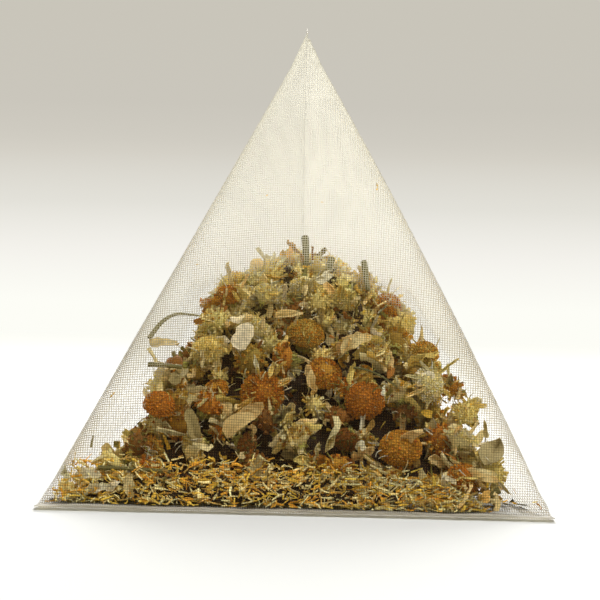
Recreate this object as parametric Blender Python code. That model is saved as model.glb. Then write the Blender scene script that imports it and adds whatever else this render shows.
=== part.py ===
"""Pyramid tea bag: a sealed gauze tetrahedron holding dried chamomile flower heads.

One tube of gauze is sealed flat along the front bottom edge and sealed again, at right angles,
along the rear edge, which folds it into a tetrahedron. Its threads run along and across the
seals. Units are metres, +Z is up, and the bag rests on its bottom wall with the front seal
towards -Y. The origin is the middle of the footprint.
"""
import math
import random

import bmesh
import bpy
from mathutils import Matrix, Vector

# Gauze bag
SEAL_LENGTH = 0.058        # each sealed edge, which is half the girth of the gauze tube
FACE_HEIGHT = 0.070        # from one seal to the far end of the other, along a wall
WALL = 0.00035             # gauze wall
LIP_WIDTH = 0.0018         # sealed strip that stands past each seal
LIP_THICKNESS = 0.0006
FOLD_SOFTNESS = 0.0012     # half width of the soft bend along each folded edge
BULGE = 0.0011             # how far the filling pushes the standing walls out
WEAVE_ROWS = 12            # rows of weave between the seals
UPRIGHT_BAND = 0.0018      # solid gauze beside a gap, running from seal to seal
CROSS_BAND = 0.0020        # solid gauze above and below a gap
THREAD_RIDGE = 0.00040     # height of the thread ridges
POCKET_MOUTH = 0.00025     # inside height of the pocket where the walls meet at a seal

# Filling
CLEARANCE = 0.0003         # between any two pieces that touch
FLOWER_LAYER = 0.0056      # depth of the layer of flower heads around the mound
BED_DEPTH = 0.0020         # crumbs that cover the bottom of the bag
BED_REACH_RIGHT = 0.0130   # the right-hand corner has no crumbs past here
MOUND_HEIGHT = 0.0250      # top of the mound of crumbs
CRUMB_GRAIN = 0.00040      # roughness of the mound
MOUND_SIDES = 36
MOUND_LEVELS = 6
PETAL_THICKNESS = 0.00030
LEAF_THICKNESS = 0.00040
PETAL_BELLY = 1.3
LEAF_BELLY = 1.0
STEM_RADIUS = 0.00032

# A flower head's outline from its cup to its dome, in disc radii: wide and high.
HEAD_PROFILE = [(0.34, 0.0), (0.84, 0.42), (1.08, 0.66), (0.80, 0.95), (0.46, 1.32)]
DOME_TOP = 1.45
RUFF_RING = 2              # the ring of the outline that the petals' ruff scallops
RUFF_SCALLOP = 0.12
HEAD_WOBBLE = 0.04         # how far a dried head is from round
HEAD_SIDES = 10
BLADE_STEPS = 5            # lengthwise steps of a petal or leaf
BLADE_TIP = 0.35           # width of its ends, as a share of its width

HALF_SEAL = SEAL_LENGTH / 2
HALF_OPENING = math.asin(HALF_SEAL / FACE_HEIGHT)
AXIS_LENGTH = math.sqrt(FACE_HEIGHT ** 2 - HALF_SEAL ** 2)
AXIS = Vector((0, math.cos(HALF_OPENING), math.sin(HALF_OPENING)))
RISE = Vector((0, -math.sin(HALF_OPENING), math.cos(HALF_OPENING)))
SLOPE = 1 / math.cos(HALF_OPENING)
CELL_WIDE = SEAL_LENGTH / WEAVE_ROWS
CELL_TALL = FACE_HEIGHT / WEAVE_ROWS
NARROWEST_FOLD = 0.8       # a fold near a seal takes up to this share of what is left beside it
SAME_PLACE = 1e-6          # points closer than this are one point

# The footprint runs from the front lip to the rear lip, and the origin is its middle.
LIP_START = LIP_THICKNESS / SEAL_LENGTH
REAR_REACH = (AXIS * AXIS_LENGTH - RISE * HALF_SEAL).y * (1 - LIP_START) + LIP_WIDTH * AXIS.y
SHIFT = Vector((0, (LIP_WIDTH - REAR_REACH) / 2, 0))

LEFT = SHIFT + Vector((-HALF_SEAL, 0, 0))
RIGHT = SHIFT + Vector((HALF_SEAL, 0, 0))
TOP = SHIFT + AXIS * AXIS_LENGTH + RISE * HALF_SEAL
BACK = SHIFT + AXIS * AXIS_LENGTH - RISE * HALF_SEAL
WALLS = {"front": (LEFT, RIGHT), "right": (RIGHT, BACK), "left": (BACK, LEFT)}

# Flower heads: wall, share of the way up it, share of the way across it from its left as seen
# from outside, radius of the disc, tilt away from the wall's normal in degrees, the way it tilts
# in degrees from straight across, and the length of the stem left on it.
FLOWER_HEADS = [
    ("front", 0.249, 0.680, 0.00250, 12, 200, 0),
    ("front", 0.156, 0.745, 0.00260, 15, 100, 0),
    ("front", 0.302, 0.575, 0.00225, 20, 30, 0),
    ("front", 0.268, 0.275, 0.00160, 25, 150, 0),
    ("front", 0.258, 0.405, 0.00260, 25, 290, 0),
    ("front", 0.378, 0.520, 0.00235, 30, 80, 0),
    ("front", 0.176, 0.620, 0.00160, 80, 250, 0),
    ("front", 0.342, 0.225, 0.00220, 35, 120, 0),
    ("front", 0.386, 0.345, 0.00190, 75, 70, 0),
    ("front", 0.350, 0.745, 0.00180, 60, 20, 0),
    ("front", 0.158, 0.262, 0.00170, 70, 200, 0),
    ("front", 0.163, 0.380, 0.00155, 85, 330, 0),
    ("front", 0.173, 0.500, 0.00190, 70, 120, 0),
    ("front", 0.480, 0.515, 0.00170, 97, 270, 0.0042),
    ("front", 0.458, 0.672, 0.00170, 97, 250, 0.0026),
    ("front", 0.460, 0.228, 0.00175, 40, 100, 0),
    ("front", 0.462, 0.370, 0.00160, 60, 60, 0),
    ("right", 0.175, 0.26, 0.00200, 30, 40, 0),
    ("right", 0.170, 0.42, 0.00230, 15, 200, 0),
    ("right", 0.175, 0.59, 0.00210, 60, 300, 0),
    ("right", 0.190, 0.75, 0.00190, 35, 120, 0),
    ("right", 0.300, 0.28, 0.00210, 20, 240, 0),
    ("right", 0.295, 0.46, 0.00220, 50, 70, 0),
    ("right", 0.310, 0.65, 0.00210, 15, 10, 0),
    ("right", 0.430, 0.30, 0.00190, 40, 160, 0),
    ("right", 0.425, 0.55, 0.00220, 25, 330, 0),
    ("left", 0.180, 0.25, 0.00190, 25, 100, 0),
    ("left", 0.170, 0.41, 0.00220, 20, 10, 0),
    ("left", 0.175, 0.58, 0.00230, 55, 220, 0),
    ("left", 0.180, 0.74, 0.00200, 30, 80, 0),
    ("left", 0.300, 0.34, 0.00210, 15, 180, 0),
    ("left", 0.310, 0.54, 0.00220, 35, 300, 0),
    ("left", 0.300, 0.73, 0.00200, 20, 40, 0),
    ("left", 0.430, 0.46, 0.00220, 30, 140, 0),
    ("left", 0.430, 0.70, 0.00190, 60, 60, 0),
]

# Flower heads that lean on the gauze near a fold, where the mound doesn't reach.
CORNER_HEADS = [
    ("front", 0.090, 0.862, 0.00190, 20, 30, 0),
    ("front", 0.216, 0.150, 0.00190, 20, 60, 0),
    ("front", 0.165, 0.890, 0.00165, 80, 60, 0),
    ("front", 0.425, 0.815, 0.00155, 35, 20, 0),
    ("front", 0.270, 0.855, 0.00200, 40, 340, 0),
    ("front", 0.330, 0.880, 0.00160, 30, 60, 0),
]

# Loose ray petals pressed against the front wall: share of the way up, share of the way across,
# length, width and turn in degrees from straight across.
PETALS = [
    (0.300, 0.500, 0.0036, 0.0013, 88),
    (0.203, 0.575, 0.0034, 0.0013, 78),
    (0.130, 0.590, 0.0044, 0.0015, 122),
    (0.214, 0.420, 0.0058, 0.0020, 42),
    (0.360, 0.765, 0.0054, 0.0017, 24),
    (0.112, 0.820, 0.0040, 0.0016, 96),
    (0.175, 0.670, 0.0026, 0.0011, 68),
    (0.130, 0.330, 0.0040, 0.0014, 10),
]

LEAF = (0.136, 0.958, 0.0044, 0.0029, 98)


def section_point(run, turn, lift):
    """A point of the gauze: run along the tube, turn around it from the middle of the front
    wall, and lift along the wall's outward normal, which is negative inside the wall."""
    share = run / FACE_HEIGHT
    half_wide = HALF_SEAL * (1 - share)
    half_tall = HALF_SEAL * share
    side = 1 if turn >= 0 else -1
    turned = abs(turn)
    soft = min(FOLD_SOFTNESS, NARROWEST_FOLD * half_wide, NARROWEST_FOLD * half_tall)
    for fold in (half_wide, half_wide + 2 * half_tall):
        away = turned - fold
        if abs(away) < soft:
            before = flat_point(fold - soft, half_wide, half_tall, lift, share)
            after = flat_point(fold + soft, half_wide, half_tall, lift, share)
            across, tall = before.lerp(after, (away + soft) / (2 * soft))
            break
    else:
        across, tall = flat_point(turned, half_wide, half_tall, lift, share)
    return SHIFT + AXIS * AXIS_LENGTH * share + Vector((side * across, 0, 0)) + RISE * tall


def flat_point(turned, half_wide, half_tall, lift, share):
    """The same point in its cross-section, on the flat of one wall: across and up."""
    rise = lift * SLOPE
    inset = min(rise, 0)
    ripple = 4 * share * (1 - share) * BULGE * SLOPE
    if turned <= half_wide:
        part = turned / half_wide
        return Vector((part * (half_wide + inset), half_tall + rise + ripple * (1 - part * part)))
    if turned <= half_wide + 2 * half_tall:
        part = 1 - (turned - half_wide) / half_tall
        return Vector((half_wide + rise + ripple * (1 - part * part), part * (half_tall + inset)))
    part = (SEAL_LENGTH - turned) / half_wide
    return Vector((part * (half_wide + inset), -half_tall - inset))


def is_gap(column, row):
    """Gaps take every other cell of the weave, clear of the folds and the seals."""
    if (column + row) % 2 or row in (0, WEAVE_ROWS - 1):
        return False
    first = abs(column + 0.5) * CELL_WIDE - (CELL_WIDE - UPRIGHT_BAND) / 2
    last = first + CELL_WIDE - UPRIGHT_BAND
    for run in (row * CELL_TALL + CROSS_BAND / 2, (row + 1) * CELL_TALL - CROSS_BAND / 2):
        half_wide = HALF_SEAL * (1 - run / FACE_HEIGHT)
        for fold in (half_wide, SEAL_LENGTH - half_wide):
            if first - FOLD_SOFTNESS < fold < last + FOLD_SOFTNESS:
                return False
    return True


def weave_sheet(start, inner):
    """One face of the gauze, laid out flat: x is the turn, y the run and z the lift."""
    sheet = bmesh.new()
    ground = -WALL if inner else 0.0
    for row in range(WEAVE_ROWS):
        low = max(row * CELL_TALL, start)
        high = min((row + 1) * CELL_TALL, FACE_HEIGHT - start)
        for column in range(-WEAVE_ROWS, WEAVE_ROWS):
            left, right = column * CELL_WIDE, (column + 1) * CELL_WIDE
            corners = []
            for turn, run in ((left, low), (right, low), (right, high), (left, high)):
                under = abs(turn) > SEAL_LENGTH - HALF_SEAL * (1 - run / FACE_HEIGHT) - FOLD_SOFTNESS
                at_seal = run in (start, FACE_HEIGHT - start)
                ridge = 0.0 if inner or under or at_seal else THREAD_RIDGE
                corners.append(sheet.verts.new((turn, run, ground + ridge)))
            if is_gap(column, row):
                rim = [sheet.verts.new(point) for point in gap_corners(column, row, ground)]
                for k in range(4):
                    n = (k + 1) % 4
                    sheet.faces.new((corners[k], corners[n], rim[n], rim[k]))
            elif inner:
                sheet.faces.new(corners)
            else:
                middle = sheet.verts.new(((left + right) / 2, (low + high) / 2, ground))
                for k in range(4):
                    sheet.faces.new((corners[k], corners[(k + 1) % 4], middle))
    bmesh.ops.remove_doubles(sheet, verts=sheet.verts, dist=SAME_PLACE)
    crease_folds(sheet)
    return sheet


def gap_corners(column, row, lift):
    """The four corners of one gap in the flat sheet."""
    left = column * CELL_WIDE + UPRIGHT_BAND / 2
    right = (column + 1) * CELL_WIDE - UPRIGHT_BAND / 2
    low = row * CELL_TALL + CROSS_BAND / 2
    high = (row + 1) * CELL_TALL - CROSS_BAND / 2
    return [(left, low, lift), (right, low, lift), (right, high, lift), (left, high, lift)]


def crease_folds(sheet):
    """Cuts the flat sheet on both sides of each of the four folds."""
    for side in (-1, 1):
        for lean in (-1, 1):
            along = Vector((side * lean * HALF_SEAL, FACE_HEIGHT, 0)).normalized()
            across = Vector((along.y, -along.x, 0))
            for bend in (-FOLD_SOFTNESS, FOLD_SOFTNESS):
                geometry = sheet.verts[:] + sheet.edges[:] + sheet.faces[:]
                point = (side * HALF_SEAL + bend, 0, 0)
                bmesh.ops.bisect_plane(sheet, geom=geometry, dist=SAME_PLACE, plane_co=point, plane_no=across)


def ring_at(sheet, run):
    """The sheet's vertices on one end, in order around the tube."""
    found = [v for v in sheet.verts if abs(v.co.y - run) < SAME_PLACE]
    return sorted(found, key=lambda v: v.co.x)


def close_end(mesh, ring, turns, at_front):
    """Joins the two halves of a ring that lie face to face at a seal. Each vertex of one wall
    meets the vertex of the other wall that lies as far round the tube from the fold."""
    pairs = {}
    for vert, turn in zip(ring, turns):
        if at_front:
            near = abs(turn) < HALF_SEAL
            mirrored = turn if near else math.copysign(SEAL_LENGTH, turn) - turn
            on_fold = abs(abs(turn) - HALF_SEAL) < SAME_PLACE
        else:
            near = turn > 0
            mirrored = abs(turn)
            on_fold = min(mirrored, abs(mirrored - SEAL_LENGTH)) < SAME_PLACE
        pair = pairs.setdefault(round(mirrored, 5), [vert, vert])
        if not on_fold:
            pair[0 if near else 1] = vert
    order = sorted(pairs)
    for before, after in zip(order, order[1:]):
        loop = []
        for vert in pairs[before] + pairs[after][::-1]:
            if vert not in loop:
                loop.append(vert)
        mesh.faces.new(loop)


def add_layer(mesh, start, inner):
    """Wraps one face of the gauze round the tetrahedron and closes its two ends."""
    sheet = weave_sheet(start, inner)
    sheet.verts.index_update()
    ends = [(run, [v.index for v in ring_at(sheet, run)]) for run in (start, FACE_HEIGHT - start)]
    turns = {v.index: v.co.x for v in sheet.verts}
    made = {v.index: mesh.verts.new(section_point(v.co.y, v.co.x, v.co.z)) for v in sheet.verts}
    for face in sheet.faces:
        mesh.faces.new([made[v.index] for v in face.verts])
    for run, ring in ends:
        at_front = run < FACE_HEIGHT / 2
        verts = [made[i] for i in ring]
        around = [turns[i] for i in ring]
        if not inner:
            verts = add_lip(mesh, verts, at_front)
        close_end(mesh, verts, around, at_front)
    sheet.free()


def add_lip(mesh, ring, at_front):
    """Carries the outside of the bag on as the flat sealed lip."""
    outer = []
    for vert in ring:
        if at_front:
            place = Vector((vert.co.x, SHIFT.y - LIP_WIDTH, vert.co.z))
        else:
            place = vert.co + AXIS * LIP_WIDTH
        outer.append(mesh.verts.new(place))
    for k in range(len(ring) - 1):
        mesh.faces.new((ring[k], ring[k + 1], outer[k + 1], outer[k]))
    return outer


def make_gauze():
    """The bag: outer face, inner face, the walls of the gaps, the lips and the closed ends."""
    mesh = bmesh.new()
    pocket_start = (POCKET_MOUTH + 2 * WALL * SLOPE) / SEAL_LENGTH * FACE_HEIGHT
    add_layer(mesh, LIP_START * FACE_HEIGHT, inner=False)
    add_layer(mesh, pocket_start, inner=True)
    for row in range(WEAVE_ROWS):
        for column in range(-WEAVE_ROWS, WEAVE_ROWS):
            if not is_gap(column, row):
                continue
            outer = [section_point(run, turn, lift) for turn, run, lift in gap_corners(column, row, 0.0)]
            inner = [section_point(run, turn, lift) for turn, run, lift in gap_corners(column, row, -WALL)]
            for k in range(4):
                n = (k + 1) % 4
                points = (outer[k], outer[n], inner[n], inner[k])
                mesh.faces.new([mesh.verts.new(point) for point in points])
    bmesh.ops.remove_doubles(mesh, verts=mesh.verts, dist=SAME_PLACE)
    bmesh.ops.recalc_face_normals(mesh, faces=mesh.faces)
    return mesh


def wall_frame(name):
    """A wall's outward normal and its two base corners."""
    first, second = WALLS[name]
    normal = (second - first).cross(TOP - first).normalized()
    return normal, first, second


def wall_point(name, up, across):
    """A point on the flat of a wall, by its shares of the way up and across."""
    first, second = WALLS[name]
    return first.lerp(TOP, up).lerp(second.lerp(TOP, up), across)


def heap_section(height, inset, reach_right, grain, rng):
    """One level of the heap: a ring that stays inside the walls by the inset."""
    centre = ((LEFT + RIGHT + BACK) / 3).lerp(TOP, height / TOP.z)
    planes = []
    for name in WALLS:
        normal, first, _ = wall_frame(name)
        planes.append((normal, normal.dot(first) - inset))
    planes.append((Vector((1, 0, 0)), reach_right))
    ring = []
    for k in range(MOUND_SIDES):
        angle = 2 * math.pi * k / MOUND_SIDES
        way = Vector((math.cos(angle), math.sin(angle), 0))
        reach = min((limit - normal.dot(centre)) / normal.dot(way)
                    for normal, limit in planes if normal.dot(way) > 1e-6)
        ring.append(centre + way * (reach - grain * rng.random()))
    return ring


def make_heap():
    """The bed of crumbs on the bottom wall and the mound that carries the flower heads."""
    rng = random.Random(5)
    mesh = bmesh.new()
    floor = WALL + CLEARANCE
    skin = WALL + CLEARANCE + FOLD_SOFTNESS
    mound_inset = WALL + FLOWER_LAYER
    bed_top = floor + BED_DEPTH
    mound_top = MOUND_HEIGHT - 2 * CRUMB_GRAIN
    levels = [(floor, skin, BED_REACH_RIGHT, 0.0),
              (floor + BED_DEPTH / 2, skin, BED_REACH_RIGHT, CRUMB_GRAIN),
              (bed_top - CRUMB_GRAIN, skin + CRUMB_GRAIN, BED_REACH_RIGHT - CRUMB_GRAIN, CRUMB_GRAIN)]
    for k in range(MOUND_LEVELS):
        height = bed_top + (mound_top - bed_top) * k / (MOUND_LEVELS - 1)
        levels.append((height, mound_inset, HALF_SEAL, CRUMB_GRAIN))
    rings = []
    for height, inset, reach_right, grain in levels:
        points = heap_section(height, inset, reach_right, grain, rng)
        rings.append([mesh.verts.new(point) for point in points])
    for low, high in zip(rings, rings[1:]):
        for k in range(MOUND_SIDES):
            n = (k + 1) % MOUND_SIDES
            mesh.faces.new((low[k], low[n], high[n], high[k]))
    for ring, height in ((rings[0], floor), (rings[-1], MOUND_HEIGHT)):
        middle = sum((v.co for v in ring), Vector()) / MOUND_SIDES
        middle.z = height
        pole = mesh.verts.new(middle)
        for k in range(MOUND_SIDES):
            mesh.faces.new((ring[k], ring[(k + 1) % MOUND_SIDES], pole))
    bmesh.ops.recalc_face_normals(mesh, faces=mesh.faces)
    return mesh


def turned_head(radius, stem, rng):
    """A flower head on +Z: stem or cup base, green cup, ruff of petals and dome of florets."""
    mesh = bmesh.new()
    rings = []
    if stem:
        rings.append(ring_of(mesh, STEM_RADIUS, -stem, 0, rng))
        rings.append(ring_of(mesh, STEM_RADIUS, -STEM_RADIUS, 0, rng))
    for k, (wide, high) in enumerate(HEAD_PROFILE):
        scallop = RUFF_SCALLOP if k == RUFF_RING else 0.0
        rings.append(ring_of(mesh, wide * radius, high * radius, scallop, rng))
    for low, high in zip(rings, rings[1:]):
        for k in range(HEAD_SIDES):
            n = (k + 1) % HEAD_SIDES
            mesh.faces.new((low[k], low[n], high[n], high[k]))
    for ring, height in ((rings[0], -stem), (rings[-1], DOME_TOP * radius)):
        pole = mesh.verts.new((0, 0, height))
        for k in range(HEAD_SIDES):
            mesh.faces.new((ring[k], ring[(k + 1) % HEAD_SIDES], pole))
    bmesh.ops.recalc_face_normals(mesh, faces=mesh.faces)
    return mesh


def ring_of(mesh, radius, height, scallop, rng):
    """A ring of vertices round +Z, its radius drawn in at every other one."""
    ring = []
    for k in range(HEAD_SIDES):
        angle = 2 * math.pi * k / HEAD_SIDES
        reach = radius * (1 - scallop * (k % 2)) * (1 + HEAD_WOBBLE * rng.uniform(-1, 1))
        ring.append(mesh.verts.new((reach * math.cos(angle), reach * math.sin(angle), height)))
    return ring


def make_head(place, seed, on_gauze):
    """A flower head turned, tilted and seated on the mound, or leaning on the gauze."""
    wall, up, across, radius, tilt, way, stem = place
    normal, first, second = wall_frame(wall)
    sideways = (second - first).normalized()
    upwards = normal.cross(sideways)
    tilt, way = math.radians(tilt), math.radians(way)
    facing = normal * math.cos(tilt) + (sideways * math.cos(way) + upwards * math.sin(way)) * math.sin(tilt)
    mesh = turned_head(radius, stem, random.Random(seed))
    turn = facing.to_track_quat("Z", "Y").to_matrix().to_4x4()
    centred = Matrix.Translation((0, 0, -DOME_TOP / 2 * radius))
    bmesh.ops.transform(mesh, matrix=turn @ centred, verts=mesh.verts)
    depths = [normal.dot(v.co) for v in mesh.verts]
    if on_gauze:
        seat = -(WALL + CLEARANCE) - max(depths)
    else:
        seat = -(WALL + FLOWER_LAYER) + CLEARANCE - min(depths)
    bmesh.ops.translate(mesh, vec=wall_point(wall, up, across) + normal * seat, verts=mesh.verts)
    return mesh


def make_blade(up, across, length, width, turn, thickness, belly):
    """A thin petal or leaf that lies against the inside of the front wall. A belly over 1 makes
    it widest past its middle."""
    mesh = bmesh.new()
    run = up * FACE_HEIGHT
    middle = (across * 2 - 1) * HALF_SEAL * (1 - up)
    turn = math.radians(turn)
    outline = []
    for k in range(BLADE_STEPS + 1):
        share = k / BLADE_STEPS
        swell = math.sin(math.pi * share ** belly)
        outline.append((length * (share - 0.5), width / 2 * (BLADE_TIP + (1 - BLADE_TIP) * swell)))
    layers = []
    for depth in (0.0, thickness):
        layer = []
        for along, half in outline:
            pair = []
            for side in (-half, half):
                x = middle + along * math.cos(turn) - side * math.sin(turn)
                y = run + along * math.sin(turn) + side * math.cos(turn)
                pair.append(mesh.verts.new(section_point(y, x, -(WALL + CLEARANCE + depth))))
            layer.append(pair)
        layers.append(layer)
    outer, inner = layers
    for k in range(BLADE_STEPS):
        mesh.faces.new((outer[k][0], outer[k + 1][0], outer[k + 1][1], outer[k][1]))
        mesh.faces.new((inner[k][0], inner[k][1], inner[k + 1][1], inner[k + 1][0]))
        for side in (0, 1):
            mesh.faces.new((outer[k][side], inner[k][side], inner[k + 1][side], outer[k + 1][side]))
    for k in (0, BLADE_STEPS):
        mesh.faces.new((outer[k][0], outer[k][1], inner[k][1], inner[k][0]))
    bmesh.ops.recalc_face_normals(mesh, faces=mesh.faces)
    return mesh


def material(name, colour, roughness):
    """A Principled material, made once for each name."""
    found = bpy.data.materials.get(name)
    if found:
        return found
    made = bpy.data.materials.new(name)
    made.use_nodes = True
    shader = made.node_tree.nodes["Principled BSDF"]
    shader.inputs["Base Color"].default_value = (*colour, 1.0)
    shader.inputs["Roughness"].default_value = roughness
    shader.inputs["Metallic"].default_value = 0.0
    return made


def add_object(name, mesh, finish, smooth):
    """Puts a finished mesh in the scene under its own name."""
    data = bpy.data.meshes.new(name)
    mesh.to_mesh(data)
    mesh.free()
    if smooth:
        data.shade_smooth()
        data.set_sharp_from_angle(angle=math.radians(50))
    data.materials.append(finish)
    part = bpy.data.objects.new(name, data)
    bpy.context.scene.collection.objects.link(part)
    return part


def main():
    for old in list(bpy.data.objects):
        bpy.data.objects.remove(old, do_unlink=True)
    gauze = material("woven_gauze", (0.86, 0.84, 0.76), 0.55)
    crumbs = material("chamomile_crumbs", (0.50, 0.34, 0.11), 0.9)
    florets = material("chamomile_florets", (0.45, 0.20, 0.04), 0.9)
    cream = material("dried_petal", (0.72, 0.63, 0.40), 0.8)
    bract = material("dried_leaf", (0.26, 0.20, 0.12), 0.85)
    add_object("gauze_bag", make_gauze(), gauze, smooth=False)
    add_object("crumb_heap", make_heap(), crumbs, smooth=False)
    heads = [(place, False) for place in FLOWER_HEADS] + [(place, True) for place in CORNER_HEADS]
    for number, (place, on_gauze) in enumerate(heads, start=1):
        mesh = make_head(place, number, on_gauze)
        add_object(f"flower_head_{number:02d}", mesh, florets, smooth=True)
    for number, (up, across, length, width, turn) in enumerate(PETALS, start=1):
        mesh = make_blade(up, across, length, width, turn, PETAL_THICKNESS, PETAL_BELLY)
        add_object(f"loose_petal_{number:02d}", mesh, cream, smooth=True)
    add_object("leaf_bract", make_blade(*LEAF, LEAF_THICKNESS, LEAF_BELLY), bract, smooth=True)


main()
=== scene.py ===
"""Pyramid tea bag of woven nylon gauze, filled with dried chamomile, dressed over its CAD frame."""
import math
import random

import bmesh
import bpy
import numpy as np
from mathutils import Matrix, Vector, noise
from mathutils.bvhtree import BVHTree


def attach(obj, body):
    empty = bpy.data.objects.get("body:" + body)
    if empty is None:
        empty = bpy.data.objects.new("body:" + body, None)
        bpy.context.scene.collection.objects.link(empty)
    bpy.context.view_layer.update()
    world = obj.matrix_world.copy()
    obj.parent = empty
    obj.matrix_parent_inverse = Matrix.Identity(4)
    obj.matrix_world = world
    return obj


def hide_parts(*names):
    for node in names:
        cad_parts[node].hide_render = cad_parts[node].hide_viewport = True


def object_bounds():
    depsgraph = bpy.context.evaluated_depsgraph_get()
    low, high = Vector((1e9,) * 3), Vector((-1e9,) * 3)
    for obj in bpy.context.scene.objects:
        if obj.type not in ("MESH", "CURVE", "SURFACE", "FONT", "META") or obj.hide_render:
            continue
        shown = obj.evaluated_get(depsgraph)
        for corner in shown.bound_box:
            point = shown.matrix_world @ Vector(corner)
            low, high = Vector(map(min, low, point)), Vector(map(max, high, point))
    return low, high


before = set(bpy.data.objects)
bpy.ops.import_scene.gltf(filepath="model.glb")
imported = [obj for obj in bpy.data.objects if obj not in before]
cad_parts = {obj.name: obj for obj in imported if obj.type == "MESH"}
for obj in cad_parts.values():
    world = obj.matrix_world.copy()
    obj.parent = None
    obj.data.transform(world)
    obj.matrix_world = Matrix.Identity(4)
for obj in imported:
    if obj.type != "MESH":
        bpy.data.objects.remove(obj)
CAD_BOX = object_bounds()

bl_info = {
    "name": "Pyramid Tea Bag",
    "version": (1, 0, 0),
    "blender": (4, 5, 0),
    "location": "3D View > Sidebar > Tea Bag",
    "description": "Makes a gauze tea bag and its filling of dried flower heads",
    "category": "Add Mesh",
}

MM = 0.001

# The bag, as in the CAD frame
SEAL_LENGTH = 0.058
FACE_HEIGHT = 0.070
LIP_WIDTH = 0.0018
FOLD_SOFTNESS = 0.0016
BULGE = 0.0011
RIGHT_SWELL = 0.0009       # how far the filling pushes the right fold out
HALF_SEAL = SEAL_LENGTH / 2
HALF_OPENING = math.asin(HALF_SEAL / FACE_HEIGHT)
AXIS_LENGTH = math.sqrt(FACE_HEIGHT ** 2 - HALF_SEAL ** 2)
AXIS = Vector((0, math.cos(HALF_OPENING), math.sin(HALF_OPENING)))
RISE = Vector((0, -math.sin(HALF_OPENING), math.cos(HALF_OPENING)))
SLOPE = 1 / math.cos(HALF_OPENING)
NARROWEST_FOLD = 0.8
FRONT_LIP_Y = CAD_BOX[0][1]
SHIFT = Vector((0, FRONT_LIP_Y + LIP_WIDTH, 0))
LEFT = SHIFT + Vector((-HALF_SEAL, 0, 0))
RIGHT = SHIFT + Vector((HALF_SEAL, 0, 0))
TOP = SHIFT + AXIS * AXIS_LENGTH + RISE * HALF_SEAL
BACK = SHIFT + AXIS * AXIS_LENGTH - RISE * HALF_SEAL
WALLS = {"front": (LEFT, RIGHT), "right": (RIGHT, BACK), "left": (BACK, LEFT)}

# How the filling sits in it
HEAD_LAYER = 0.00595       # from the outside of a wall to the mound
SEAT = 0.0003
MOUND_SHOULDER = 0.0180    # above this the mound is a top that carries heads of its own
HEAD_PROFILE = [(0.34, 0.0), (0.84, 0.42), (1.08, 0.66), (0.80, 0.95), (0.46, 1.32), (0.0, 1.45)]
HEAD_MIDDLE = 0.725        # half of a head's height, in disc radii
GOLDEN_ANGLE = 2.399963    # spreads florets evenly over a disc
PALE_LOOKS = ("woolly", "cream", "ragged")
ON_GAUZE_DEPTH = 0.00065   # from the outside of a wall to a head that leans on the gauze
SKIN = 0.00045             # nothing in the bag comes nearer to the outside of a wall
HOLLOW_DEPTH = 0.0035      # from the outside of the front wall to the middle of a deep hollow

# How far dusting and painted shade darken the threads over the lower bag, the share of the bag's
# height where they end, and the share of the height over which they fade out
DUST_AND_SHADE, DUST_AND_SHADE_TOP, DUST_AND_SHADE_FADE = 0.45, 0.55, 0.25

# Of all crumbs, the share behind the front wall, the share behind it or another wall, and the
# share there or on the floor; the rest lie on the mound
FRONT_CRUMBS, WALL_CRUMBS, FLOOR_CRUMBS = 0.56, 0.71, 0.93
BED_HEIGHT = 5.0           # in mm, behind a wall
BED_FALLS_FROM = 0.66      # the share across a wall from which the bed gets lower
BED_FALL = 13              # how steeply it does, in mm for the whole width of a wall
BED_END = 0.0185           # how far to the right crumbs lie on the floor
SHADED_FROM = 0.004        # front crumbs to the right of this get painted shade
MOUND_SHADE, RIGHT_SHADE = 0.45, 0.80      # painted shade: how bright the crumbs there are drawn against the others
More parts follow.
